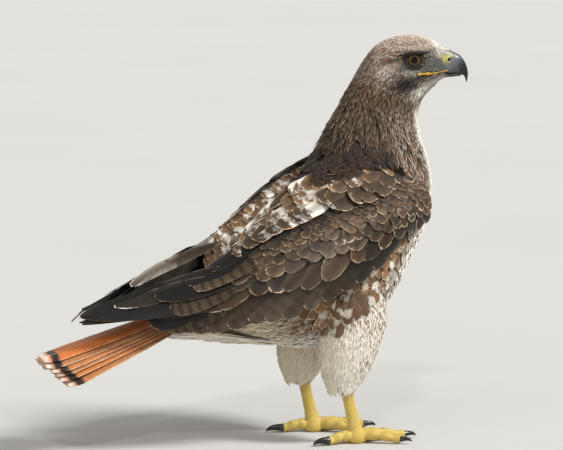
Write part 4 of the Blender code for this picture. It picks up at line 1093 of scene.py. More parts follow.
def body_look(s, a, palette, rng):
    """What the feathers of head, neck and body look like at places along and round the spine.

    s counts the body's rings, from the tail's root (0) through the neck (7.6 to 12) to the cere (19).
    """
    count = len(s)
    straight = straight_body(s, a)
    x, z = straight[:, 0], straight[:, 2]
    round_ = from_back(a)
    chance = rng.uniform(0, 1, count)
    head = soft(s, 11.3, 12.8)
    ground = mixed(palette.mantle, palette.neck, soft(s, 6.0, 8.5))
    ground = ground * (1 + 0.35 * soft(s, 8.5, 11.0))[:, None]
    fringe = np.where((chance < 0.25)[:, None], palette.rufous, np.asarray(palette.neck_edge))
    fringe = mixed(ground, fringe, 0.45 + 0.4 * rng.uniform(0, 1, count) * soft(s, 6.5, 9.0))
    rim = 1.0 + 0 * s
    streak = 0.75 + 0 * s
    inner, threshold = ground.copy(), -1.0 + 0 * s

    # Breast side warm brown, the very front white, wider on the breast, both from the throat to the belly.
    side = soft(round_, 1.3, 2.0) * (1 - soft(s, 9.5, 11.5)) * soft(s, 1.5, 3.0)
    ground = mixed(ground, palette.flank, 0.55 * side)
    fringe = mixed(fringe, palette.white, 0.5 * side)
    breast = s < 7.0
    pale = soft(round_, 2.4 - 0.3 * breast, 2.75 - 0.15 * breast) * (1 - soft(s, 10.5, 12.5))
    ground = mixed(ground, palette.white, pale)
    fringe = mixed(fringe, palette.white, pale)
    streak = streak * (1 - 0.9 * pale * (chance > 0.25))

    # A loose band of brown streaks crosses the belly.
    belt = bump(s, 4.0, 1.3) * soft(round_, 2.0, 2.4) * (chance < 0.34)
    ground = mixed(ground, palette.flank, 0.85 * belt)

    # Flank feathers are brown with cream edges, or have a big pale spot in a brown edge.
    flank = soft(round_, 0.9, 1.3) * (1 - soft(round_, 2.1, 2.5))
    flank = flank * (1 - soft(s, 5.0, 6.2)) * soft(s, 0.8, 1.6)
    spot = (chance < 0.36) & (flank > 0.4)
    threshold = np.where(spot, 0.5, threshold)
    inner = mixed(inner, palette.flank, flank)
    # Painted shade: the pale spots are darkened to 0.66, for the shade of the wing over the flank.
    spotted = mixed(palette.cream, palette.white, 0.6) * 0.66
    ground = np.where(spot[:, None], spotted, mixed(ground, palette.flank, 0.9 * flank))
    flank_edge = np.where(spot[:, None], palette.flank, palette.cream)
    fringe = mixed(fringe, flank_edge, flank * np.where(spot, 1.0, 0.7))
    rim = np.where(spot, 3.0, rim)
    streak = streak * (1 - 0.7 * flank)

    # The vent is plain cream.
    vent = (1 - soft(s, 1.3, 2.4)) * soft(round_, 1.5, 1.9)
    ground, fringe = mixed(ground, palette.cream, vent), mixed(fringe, palette.cream, vent)
    inner = mixed(inner, palette.cream, vent)
    streak = streak * (1 - vent)

    # Crown and nape: brown with buff edges, palest over the brow, where the top of the head is also made
    # lighter by height as a painted highlight.
    crown = head * (1 - soft(round_, 1.25, 1.6))
    ground = mixed(ground, palette.crown, crown * (0.5 + 0.5 * soft(x, 112, 130)))
    # Painted highlight: the top of the crown is lighter by height.
    ground = ground * (1 + 0.6 * crown * soft(z, 364, 375) * soft(x, 118, 136))[:, None]
    buff = crown * (0.4 + 0.6 * soft(x, 112, 134)) * (0.65 + 0.35 * chance)
    fringe = mixed(fringe, palette.crown_edge, buff)
    face = head * soft(round_, 1.2, 1.6)
    ground = mixed(ground, palette.face, 0.8 * face)
    fringe = mixed(fringe, palette.crown_edge, 0.55 * face * (chance > 0.3))
    rim = np.where(head > 0.5, 0.46, rim)
    streak = np.where(head > 0.5, 0.75 + 0.25 * crown, streak)

    def blob(centre, radii, slant):
        """A soft patch on both sides of the head, given in its profile."""
        cos, sin = math.cos(slant), math.sin(slant)
        dx, dz = x - centre[0], z - centre[1]
        reach = ((dx * cos + dz * sin) / radii[0]) ** 2 + ((dz * cos - dx * sin) / radii[1]) ** 2
        return head * np.exp(-(reach**1.6))

    for centre, radii, slant, name, strength in FACE_PATCHES:
        share, colour = strength * blob(centre, radii, slant), getattr(palette, name)
        ground, fringe = mixed(ground, colour, share), mixed(fringe, colour, share)
        streak = streak * (1 - 0.5 * share)
    ground = ground * rng.uniform(0.72, 1.28, (count, 1))
    return painted(count, ground, inner, fringe, streak, threshold, rim)


def body_spacing(sizes, finer=1.0):
    """The spacing of body feathers at places along and round the spine, closer on the breast."""
    stops = [stop for stop, _, _ in SPACING]
    gaps = [share * (getattr(sizes, f"{part}_feather") / MM) for _, part, share in SPACING]

    def spacing(s, a):
        front = soft(from_back(a), 2.1, 2.6) * (1 - soft(s, 9.0, 11.0))
        return finer * np.interp(s, stops, gaps) * (1 - 0.4 * front)

    return spacing


def coat_depth(sizes, s):
    """How deep the feathers are rooted under the outline, in millimetres."""
    return np.interp(s, (TORSO_END, 12.5, HEAD_END), (sizes.body_depth / MM, sizes.head_depth / MM, 0.3))


def lie(s, a, length, sway):
    """Where vanes of the given length end that run from (s, a) towards the tail, swayed sideways."""
    _, _, along_s, along_a = framed(body_place, s, a)
    reach = length / np.maximum(np.linalg.norm(along_s, axis=-1), 1e-3)
    swing = length * sway / np.maximum(np.linalg.norm(along_a, axis=-1), 3.0)
    return s - reach * np.sqrt(1 - np.minimum(sway**2, 0.9)), a + swing


def clad_body(name, context, material, shape, s_range, seed, tries, stretch, broad, columns, slot, keep=None,
              camber=0.35, stand=0.6, finer=1.0):
    """Covers a stretch of the body with feathers.

    stretch and broad are the feathers' length and width as shares of their spacing, which finer scales.
    stand is how far the tips stand up, and keep chooses the places that are covered.
    """
    sizes, palette = context.scene.hawk_sizes, context.scene.hawk_colours
    coat = Coat(name, seed)
    spacing = body_spacing(sizes, finer)
    s, a = scattered(body_place, s_range, (-math.pi, math.pi), spacing, tries, seed)
    if keep is not None:
        chosen = keep(s, a)
        s, a = s[chosen], a[chosen]
    gap = spacing(s, a)
    length = gap * stretch * coat.rng.uniform(0.85, 1.18, len(s))
    straight = straight_body(s, a)
    by_eye = np.hypot(straight[:, 0] - EYE_CENTRE[0] - 10.0, straight[:, 2] - EYE_CENTRE[2])
    length = length * (1 - 0.55 * bump(by_eye, 0.0, 9.0))
    tips = lie(s, a, length, coat.rng.normal(0, 0.14, len(s)))
    deep = coat_depth(sizes, s)
    tip_lift = stand * gap / 3.0 * coat.rng.uniform(0.5, 1.7, len(s))
    lift = np.stack([-deep - 0.3, -0.35 * deep, 0.3 * tip_lift, tip_lift], axis=1)
    centre, normals = traced(body_place, (s, a), tips, shape, lift)
    spots = np.stack([0.5 + 0.49 * a / math.pi, (s - s_range[0]) / (s_range[1] - s_range[0])], axis=1)
    spots[:, 1] = 0.01 + 0.98 * spots[:, 1]
    look = body_look(s, a, palette, coat.rng)
    coat.add(centre, normals, gap * broad, shape, look, spots, 0.003, camber=camber, curve=0.012,
             columns=columns, ragged=0.12)
    return coat.made(material, slot=slot)


class HAWK_OT_skin(bpy.types.Operator):
    """One skin over head, neck, trunk, thighs and the tail's root"""

    bl_idname = "hawk.skin"
    bl_label = "Skin"
    bl_options = {"REGISTER", "UNDO"}

    def execute(self, context):
        sizes, palette = context.scene.hawk_sizes, context.scene.hawk_colours
        sides = 64
        around = np.linspace(-math.pi, math.pi, sides, endpoint=False)
        rings = []
        for s in np.concatenate([np.linspace(0, NECK_END, 50), np.linspace(NECK_END + 0.1, HEAD_END, 70)]):
            ring = body_place(np.full(sides, s), around)
            inward = unit(ring.mean(axis=0) - ring)
            rings.append(ring + inward * coat_depth(sizes, s))
        skin = solid("skin", *lofted(rings))
        root, centre = rings[0], rings[0].mean(axis=0)
        tail = [centre + (root - centre) * share + np.array([-reach, 0.0, -TAIL_FLESH_SLOPE * reach])
                for reach, share in TAIL_FLESH]
        extras = [solid("tail_flesh", *lofted(tail))]
        for side, _ in HANDS:
            rows = []
            for t in np.linspace(0.3, 4.9, 22):
                ring = thigh_place(np.full(36, t), circle(36))
                inward = unit(ring.mean(axis=0) - ring)
                rows.append(ring + inward * (1.2 * sizes.body_depth / MM) + leg_shift(side))
            extras.append(solid("thigh_flesh", *lofted(rows)))
        fused(skin, extras)
        self.paint(skin, palette)
        placed(skin, skin_material(), "head", "neck", "torso", "thigh_left", "thigh_right",
               slot="breast_brown")
        return {"FINISHED"}

    def paint(self, skin, palette):
        """Gives the skin the markings of the feathers that grow on it."""
        s, a = (g.ravel() for g in np.meshgrid(
            np.linspace(0, HEAD_END, 190), np.linspace(-3.14, 3.14, 72)))
        look = body_look(s, a, palette, np.random.default_rng(5))["ground"]
        places, colours = [body_place(s, a)], [look[:, :3]]
        t, b = (g.ravel() for g in np.meshgrid(np.linspace(0.3, 5, 20), np.linspace(0, 6.28, 30)))
        for side, _ in HANDS:
            places.append(thigh_place(t, b) + leg_shift(side))
            colours.append(np.broadcast_to(palette.white if side < 0 else palette.cream, (len(t), 3)))
        tree, colours = nearest_of(np.concatenate(places)), np.concatenate(colours)
        nearest = [tree.find(point)[1] for point in coordinates(skin.data)]
        found = np.concatenate([colours[nearest], np.ones((len(nearest), 1))], axis=1)
        store(skin.data, "ground", "FLOAT_COLOR", found)


class HAWK_OT_eyes(bpy.types.Operator):
    """Eyeballs with iris and pupil, and the dark rims of the lids"""

    bl_idname = "hawk.eyes"
    bl_label = "Eyes"
    bl_options = {"REGISTER", "UNDO"}

    def execute(self, context):
        palette = context.scene.hawk_colours
        tree = Tree("eye", 0.03, 0.2)
        reach, turn, _ = tree.split(tree.attribute("gaze").outputs["Vector"])
        rays = tree.noise(tree.join(tree.times(tree.math("COSINE", turn), 3.0),
                                    tree.times(tree.math("SINE", turn), 3.0),
                                    tree.times(reach, 0.25)), 3.2, 3.0)
        deep, bright = ((*(c * share for c in palette.iris), 1.0) for share in (0.5, 1.7))
        iris = tree.mix(rays, deep, bright)
        iris = tree.mix(tree.step(reach, *IRIS_SHADE, 0.0, 0.85), iris, (0.012, 0.008, 0.006, 1.0))
        iris = tree.mix(tree.step(reach, *PUPIL_EDGE), (0.002, 0.002, 0.003, 1.0), iris)
        tree.set("Base Color", tree.mix(tree.step(reach, *IRIS_EDGE), iris, DEEP_BLACK))
        lid = bare_material("lid_skin", srgb(14, 12, 12), srgb(6, 5, 5), 1500.0, 0.6)
        for side, hand in HANDS:
            centre = EYE_CENTRE * (1.0, side, 1.0)
            polar = np.linspace(0.02, math.pi - 0.02, 40)
            turns = circle(48)
            rings = [np.stack([
                EYE_RADIUS * math.sin(p) * np.cos(turns),
                side * EYE_RADIUS * math.cos(p) + 0 * turns,
                EYE_RADIUS * math.sin(p) * np.sin(turns)], axis=-1) for p in polar]
            points, faces = lofted(rings)
            eye = solid(f"eyeball_{hand}", on_head(points + centre), faces)
            store(eye.data, "gaze", "FLOAT_VECTOR", np.stack([
                np.where(points[:, 1] * side > 0, np.hypot(points[:, 0], points[:, 2]), 9.0),
                np.arctan2(points[:, 2], points[:, 0]), 0 * points[:, 0]], axis=-1))
            placed(eye, tree.material, f"eye_{hand}", slot="eye_brown")
            placed(self.lids(side, hand), lid)
            # The brow's edge takes the lids' near black, partly bare skin and partly a painted shadow under
            # the brow.
            placed(self.brow(side, hand), lid)
        return {"FINISHED"}

    def brow(self, side, hand):
        """The bare dark edge of the brow that overhangs the eye; its near black is partly its bare skin and
        partly a painted shadow under the overhang.
        """
        rings = []
        turns = circle(12)
        for share in np.linspace(0, 1, 40):
            x = BROW_EDGE[0, 0] + BROW_EDGE_LENGTH * share
            z = np.interp(x, *BROW_EDGE.T)
            thick = 0.15 + 1.2 * math.sin(math.pi * share) ** 0.8
            y = side_of_head(x, z + 1.6) - 0.1
            rings.append(np.stack([
                x + 0 * turns, side * (y + thick * np.cos(turns)), z + 0.8 * thick * np.sin(turns)], axis=-1))
        points, faces = lofted(rings)
        return solid(f"brow_{hand}", on_head(points), faces)

    def lids(self, side, hand):
        """The rim of the lids, an oval with a drawn-out front corner, that hugs the eyeball."""
        turns = circle(64)
        upright = np.where(np.sin(turns) > 0, LID_ABOVE, LID_BELOW)
        reach = upright * np.abs(np.sin(turns)) ** 2 + LID_LENGTH * np.cos(turns) ** 2
        reach = reach + LID_CORNER * bump(np.cos(turns), 1.0, 0.12)
        section = circle(10)
        rings = []
        for small in section:
            out = reach + 1.35 + 1.45 * math.cos(small)
            rise = np.sqrt(np.maximum(EYE_RADIUS**2 - (reach + 0.9) ** 2, 9.0)) + 0.5
            rise = rise + 0.85 * math.sin(small) + 1.5 * (1 + math.cos(small))
            rings.append(np.stack([out * np.cos(turns), side * rise, out * np.sin(turns)], axis=-1))
        rings = np.stack(rings, axis=1)
        points = on_head(rings.reshape(-1, 3) + EYE_CENTRE * (1.0, side, 1.0))
        index = np.arange(len(points)).reshape(rings.shape[:2])
        ahead, over = np.roll(index, -1, axis=0), np.roll(index, -1, axis=1)
        both = np.roll(ahead, -1, axis=1)
        faces = np.stack([index, ahead, both, over], axis=-1).reshape(-1, 4)
        return solid(f"lids_{hand}", points, [tuple(face) for face in faces.tolist()])


def ring_of(row, turns):
    """One oval ring of the bill from a row of its table."""
    middle_x, middle_z = (row[0] + row[2]) / 2, (row[1] + row[3]) / 2
    half_x, half_z = (row[2] - row[0]) / 2, (row[3] - row[1]) / 2
    along, across = oval(turns)
    return np.stack([middle_x + along * half_x, across * row[4], middle_z + along * half_z], axis=-1)


def nostril_reach(points):
    """How far points of the unturned bill lie from the middle of the oval nostril."""
    x, z = points[:, 0] - NOSTRIL_CENTRE[0], points[:, 2] - NOSTRIL_CENTRE[1]
    return np.hypot((x + 0.35 * z) / 1.75, z - 0.2 * x)


def bill_part(name, table, count, sides, carve=None):
    """A smooth part of the bill through the rows of its table, with how far along it each point lies."""
    turns = circle(sides)
    places = np.linspace(0, len(table) - 1, count)
    rings = [ring_of(spline(table, place), turns) for place in places]
    points, faces = lofted(rings)
    if carve is not None:
        points = carve(points)
    piece = solid(name, on_head(points), faces)
    store(piece.data, "nostril", "FLOAT", np.where(np.abs(points[:, 1]) > 2.5, nostril_reach(points), 9.0))
    grow = np.concatenate([np.repeat(places, sides), [places[0], places[-1]]]) / (len(table) - 1)
    store(piece.data, "grow", "FLOAT", grow)
    return piece


class HAWK_OT_bill(bpy.types.Operator):
    """Cere with nostrils, hooked bill, lower bill and the yellow gape"""

    bl_idname = "hawk.bill"
    bl_label = "Bill"
    bl_options = {"REGISTER", "UNDO"}

    def execute(self, context):
        palette = context.scene.hawk_colours

        def nostrils(points):
            """Sinks the nostrils and raises their rims."""
            reach = nostril_reach(points)
            depth = 2.8 * (1 - soft(reach, 0.9, 1.8)) - 0.5 * bump(reach, 2.5, 0.6)
            return points - np.sign(points[:, 1:2]) * np.outer(depth * (np.abs(points[:, 1]) > 3), (0, 1, 0))

        tree = Tree("cere_skin", 0.42, 0.35, coat=0.1)
        tree.set("Coat Roughness", 0.25)
        place = tree.place()
        cloud = tree.noise(place, 300.0, 3.0)
        _, _, z = tree.split(place)
        nostril = tree.attribute("nostril").outputs["Fac"]
        # Heights in metres: yellow wax in the middle, grey bristles above it, and white at the top as a
        # painted highlight.
        wavy = tree.swayed(z, cloud, 0.006)
        front = tree.step(tree.attribute("grow").outputs["Fac"], 0.62, 1.0, 1.0, 0.35)
        waxy = tree.times(tree.step(wavy, 0.3525, 0.3580), front)
        colour = tree.mix(waxy, opaque(palette.horn_base), opaque(palette.cere))
        colour = tree.mix(tree.step(wavy, 0.3600, 0.3645, 0.0, 0.85), colour, opaque(palette.lore))
        # Painted highlight: white towards the top of the cere.
        colour = tree.mix(tree.step(wavy, 0.3650, 0.3690, 0.0, 0.6), colour, opaque(palette.white))
        colour = tree.mix(tree.step(nostril, 1.3, 2.0), DEEP_BLACK, colour)
        tree.set("Base Color", tree.shaded(colour, tree.scaled(cloud, 0.5, 0.75)))
        tree.bumps(cloud, 0.15, 0.0003)
        cere = bill_part("cere_skin", CERE_RINGS, 60, 96, nostrils)
        placed(cere, tree.material, "cere", slot="cere_yellow")

        horn = horn_material("bill_horn", palette.horn_base, palette.horn, (-0.05, 0.45))
        placed(bill_part("bill_hook", BILL_RINGS, 60, 64), horn, "bill_upper", slot="horn_black")
        placed(bill_part("bill_under", MANDIBLE_RINGS, 30, 40), horn, "bill_lower", slot="horn_black")

        gape = bare_material("gape_skin", palette.gape, srgb(150, 100, 30), 900.0, 0.4)
        for side, hand in HANDS:
            rings = []
            turns = circle(16)
            for share in np.linspace(0, 1, 30):
                x = MOUTH_CORNER[0] - 1.5 + (MOUTH_FRONT[0] + 0.6 - MOUTH_CORNER[0]) * share
                z = MOUTH_CORNER[1] + (MOUTH_FRONT[1] - MOUTH_CORNER[1]) * share + 0.25 * math.sin(9 * share)
                y = side_of_head(x, z) - 0.9
                thick = 0.4 + 1.05 * math.sin(math.pi * min(share * 1.4 + 0.12, 0.97)) ** 0.6
                thick = thick * (1.2 - 0.4 * share)
                thick = thick * (1 + 0.16 * math.sin(23 * share))
                rings.append(np.stack([
                    x + 0 * turns, side * (y + 1.3 * thick * np.cos(turns)),
                    z + thick * np.sin(turns)], axis=-1))
            points, faces = lofted(rings)
            placed(solid(f"gape_{hand}", on_head(points), faces), gape)
        return {"FINISHED"}


def side_of_head(x, z):
    """Half width of the unturned head, with its relief, where its side is seen at x, z."""
    s, a = (g.ravel() for g in np.meshgrid(np.linspace(12, HEAD_END, 120), np.linspace(0.0, math.pi, 120)))
    skin = straight_body(s, a)
    reach = (skin[:, 0] - x) ** 2 + (skin[:, 2] - z) ** 2
    near = np.argsort(reach)[:6]
    return np.average(skin[near, 1], weights=1 / (reach[near] + 0.05))


class HAWK_OT_head(bpy.types.Operator):
    """Small feathers of crown, face and throat, and the bristles before the eyes"""

    bl_idname = "hawk.head"
    bl_label = "Head feathers"
    bl_options = {"REGISTER", "UNDO"}

    def execute(self, context):
        material = feather_material("head_feather", softness=0.5, centre=0.35, root_shade=0.6, vary=0.5)

        def keep(s, a):
            """Leaves out the eyes, the mouth's corners and the cere."""
            straight = straight_body(s, a)
            x, y, z = straight.T
            eye = np.hypot((x - EYE_CENTRE[0] - 1.2) / 1.25, z - EYE_CENTRE[2]) < 8.3
            gape = (np.abs(z - mouth_line(x)) < 1.5) & (x > 158.5)
            return ~(eye & (np.abs(y) > 8)) & ~gape & ~((x > 183.5) & (z > 343.5))

        clad_body("head_feathers", context, material, LANCE, (11.9, 18.95), seed=11, tries=80000, stretch=4.8,
                  broad=1.5, columns=3, slot="head_brown", keep=keep, camber=0.3, stand=0.9)
        return {"FINISHED"}


class HAWK_OT_body(bpy.types.Operator):
    """Feathers of neck, breast, flanks, back and vent"""

    bl_idname = "hawk.body"
    bl_label = "Body feathers"
    bl_options = {"REGISTER", "UNDO"}

    def execute(self, context):
        def is_vent(s, a):
            """The underside before the tail, which has finer feathers."""
            return (s < 2.6) & (np.abs(a) > 1.35 + 0.25 * s)

        material = feather_material("body_feather", softness=1.6, root_shade=0.45)
        clad_body("neck_feathers", context, material, WISP, (7.4, 12.1), seed=12, tries=42000, stretch=5.0,
                  broad=1.45, columns=5, slot="neck_brown", stand=0.8)
        clad_body("body_feathers", context, material, SOFT, (0.0, TORSO_END), seed=13, tries=40000,
                  stretch=3.3, broad=1.7, columns=5, slot="breast_brown",
                  keep=lambda s, a: ~is_vent(s, a), camber=0.5, stand=0.75)
        downy = feather_material("vent_feather", softness=1.0, centre=0.2, root_shade=0.9, vary=0.15)
        clad_body("vent_feathers", context, downy, WISP, (0.0, 2.9), seed=14, tries=30000, stretch=6.0,
                  broad=1.5, columns=3, slot="breast_brown", keep=is_vent, stand=1.3, finer=0.42)
        return {"FINISHED"}


class HAWK_OT_thighs(bpy.types.Operator):
    """Long loose feathers of the thighs, and spotted flank feathers over their tops"""

    bl_idname = "hawk.thighs"
    bl_label = "Thigh feathers"
    bl_options = {"REGISTER", "UNDO"}

    def execute(self, context):
        sizes, palette = context.scene.hawk_sizes, context.scene.hawk_colours
        material = feather_material("thigh_feather", softness=1.0, centre=0.14, root_shade=0.95, vary=0.12)
        spotted_vane = feather_material("flank_feather", softness=2.2, centre=0.4, root_shade=0.6, vary=0.4,
                                        edge_from=(-0.2, 0.1, 1.0))
        spacing = sizes.thigh_feather / MM
        for side, hand in HANDS:
            coat = Coat(f"thigh_{hand}_feathers", 21 + side)
            t, a = scattered(thigh_place, (0.1, 4.95), (0, 2 * math.pi), even(spacing), 46000, 31 + side)
            rng = coat.rng
            length = rng.uniform(11.0, 17.0, len(t))
            tip_t = t + length / THIGH_STEP
            tip_a = a + rng.normal(0, 0.11, len(t))
            stray = rng.uniform(0, 1, len(t)) ** 4
            lift = np.stack([-3.0 + 0 * t, -1.2 + 0 * t, -0.2 + 0.5 * stray, 0.1 + 1.3 * stray], axis=1)
            lift[:, 3] -= 3.0 * soft(tip_t, 4.7, 5.8)
            centre, normals = traced(thigh_place, (t, a), (tip_t, tip_a), WISP, lift)
            base = mixed(palette.white, palette.cream, 0.25 if side < 0 else 0.7)
            rear = soft(-np.cos(a), 0.1, 0.8) * (1.0 if side < 0 else 0.6)
            ground = mixed(base, palette.cream, 0.7 * rear)
            chance = rng.uniform(0, 1, len(t))
            upper = 1 - soft(t, 0.7, 2.0)
            ahead = np.cos(a) > -0.6 + 0.9 * soft(t, 1.0, 2.5)
            spotted = chance < (0.2 + 0.3 * upper) * (t < 3.6) * ahead * (side < 0)
            brown = mixed(palette.flank, palette.rufous, 0.5)
            ground = np.where(spotted[:, None], brown, ground) * rng.uniform(0.9, 1.08, (len(t), 1))
            look = painted(len(t), ground, base, base, 0.0, np.where(spotted, 0.7, -1.0), 0.3)
            spots = np.stack([0.01 + 0.98 * a / (2 * math.pi), 0.01 + 0.98 * (t - 0.1) / 4.9], axis=1)
            coat.add(centre + leg_shift(side), normals, spacing * 1.7, WISP, look, spots, 0.003, camber=0.3,
                     curve=0.03, columns=3, ragged=0.2)
            coat.made(material, slot="leg_white")
            self.flank(side, hand, palette, spotted_vane)
        return {"FINISHED"}

    def flank(self, side, hand, palette, material):
        """Brown feathers with big white spots that hang from the flank over the thigh's top."""
        coat = Coat(f"flank_{hand}_feathers", 25 + side)
        t, a = scattered(thigh_place, (-0.5, 2.6), (0, 2 * math.pi), even(FLANK_SPACING), 9000, 35 + side)
        rear = soft(-np.cos(a), -0.5, 0.7)
        chosen = (t < 0.3 + 1.25 * rear) & (side * np.sin(a) > -0.45)
        t, a = t[chosen], a[chosen]
        count, rng = len(t), coat.rng
        tip_t = t + rng.uniform(14.0, 19.0, count) / THIGH_STEP
        tip_a = a + rng.normal(0, 0.1, count)
        up = 0.5 + 0.9 * rng.uniform(0, 1, count)
        lift = np.stack([-2.0 + 0 * t, 0.4 + 0 * t, 0.6 * up + 0.5, 0.9 * up], axis=1)
        centre, normals = traced(thigh_place, (t, a), (tip_t, tip_a), SOFT, lift)
        spot = rng.uniform(0, 1, count) < 0.32
        brown = mixed(palette.flank, palette.covert, rng.uniform(0, 0.8, count))
        brown = brown * rng.uniform(0.62, 1.0, (count, 1))
        # Painted shade: the pale spots are darkened to 0.6, for the shade of the wing over them.
        pale = mixed(palette.cream, palette.white, rng.uniform(0.1, 0.8, count)) * 0.6
        ground = np.where(spot[:, None], pale, brown)
        look = painted(count, ground, brown, mixed(brown, palette.cream, 0.1), 0.25,
                       np.where(spot, 0.5, -1.0), np.where(spot, 3.4, 0.8))
        spots = np.stack([0.01 + 0.98 * a / (2 * math.pi), 0.05 + 0.3 * (t + 0.5)], axis=1)
        coat.add(centre + leg_shift(side), normals, 10.5, SOFT, look, spots, 0.01, camber=0.5, curve=0.02,
                 ragged=0.14)
        coat.made(material, slot="breast_brown")


class Carried:
    """Takes points of the right wing to one side; a faded one leaves the midline where it is."""

    def __init__(self, side, faded=False):
        self.flips = side > 0
        self.faded = faded

    def __call__(self, points):
        if not self.flips:
            return points
        carried = sided(points, 1)
        if not self.faded:
            return carried
        share = np.clip(np.abs(points[..., 1:2]) / BACK_FADE, 0.0, 1.0)
        return carried * share + points * (1.0, -1.0, 1.0) * (1 - share)


def wing_row(coat, count, columns, rows, shift, drop, width, lift, look, shape, side,
             tilt=0.07, camber=0.8, jitter=0.07, place=wing_place, crowd=1.0):
    """Lays one row of feathers on the wing, painted by look(u, v, rng) and smaller where they crowd."""
    share = np.linspace(0.0, 1.0, count) ** crowd
    rng = coat.rng

    def between(pair):
        return pair[0] + (pair[1] - pair[0]) * share

    u = between(columns) + rng.uniform(-1, 1, count) * jitter
    v = between(rows) + rng.uniform(-1, 1, count) * jitter
    reach = rng.uniform(1 - 2.5 * jitter, 1 + 2.5 * jitter, count)
    tip_u = u + between(shift) * reach + rng.uniform(-1, 1, count) * jitter * 1.3
    tip_v = v + between(drop) * reach
    rise = rng.uniform(-0.3, 1.0, (count, 1)) * jitter * 14 * np.linspace(0, 1, len(lift)) ** 2
    centre, normals = traced(place, (u, v), (tip_u, tip_v), shape, np.asarray(lift) + rise)
    spots = np.stack([0.03 + 0.94 * (u + 0.1) / 7.2, 0.18 + 0.76 * v / 5.2], axis=1)
    width = width * rng.uniform(1 - 2 * jitter, 1 + 2 * jitter, count)
    width = width * (1 - (crowd - 1.0) * (1 - soft(u, 0.2, 2.2)))
    coat.add(centre, normals, width, shape, look(u, v, rng), spots, 0.012, camber=camber, tilt=tilt,
             curve=0.006, columns=7, ragged=0.07, carried=Carried(side, place is back_place))


def wing_feather(coat, root, tip, width, lift, look, side, **finish):
    """Lays one long feather on the wing from root to tip, (column, row) each."""
    wing_row(coat, 1, (root[0],) * 2, (root[1],) * 2, (tip[0] - root[0],) * 2, (tip[1] - root[1],) * 2,
             width, lift, look, FLIGHT, side, jitter=0.0, **finish)


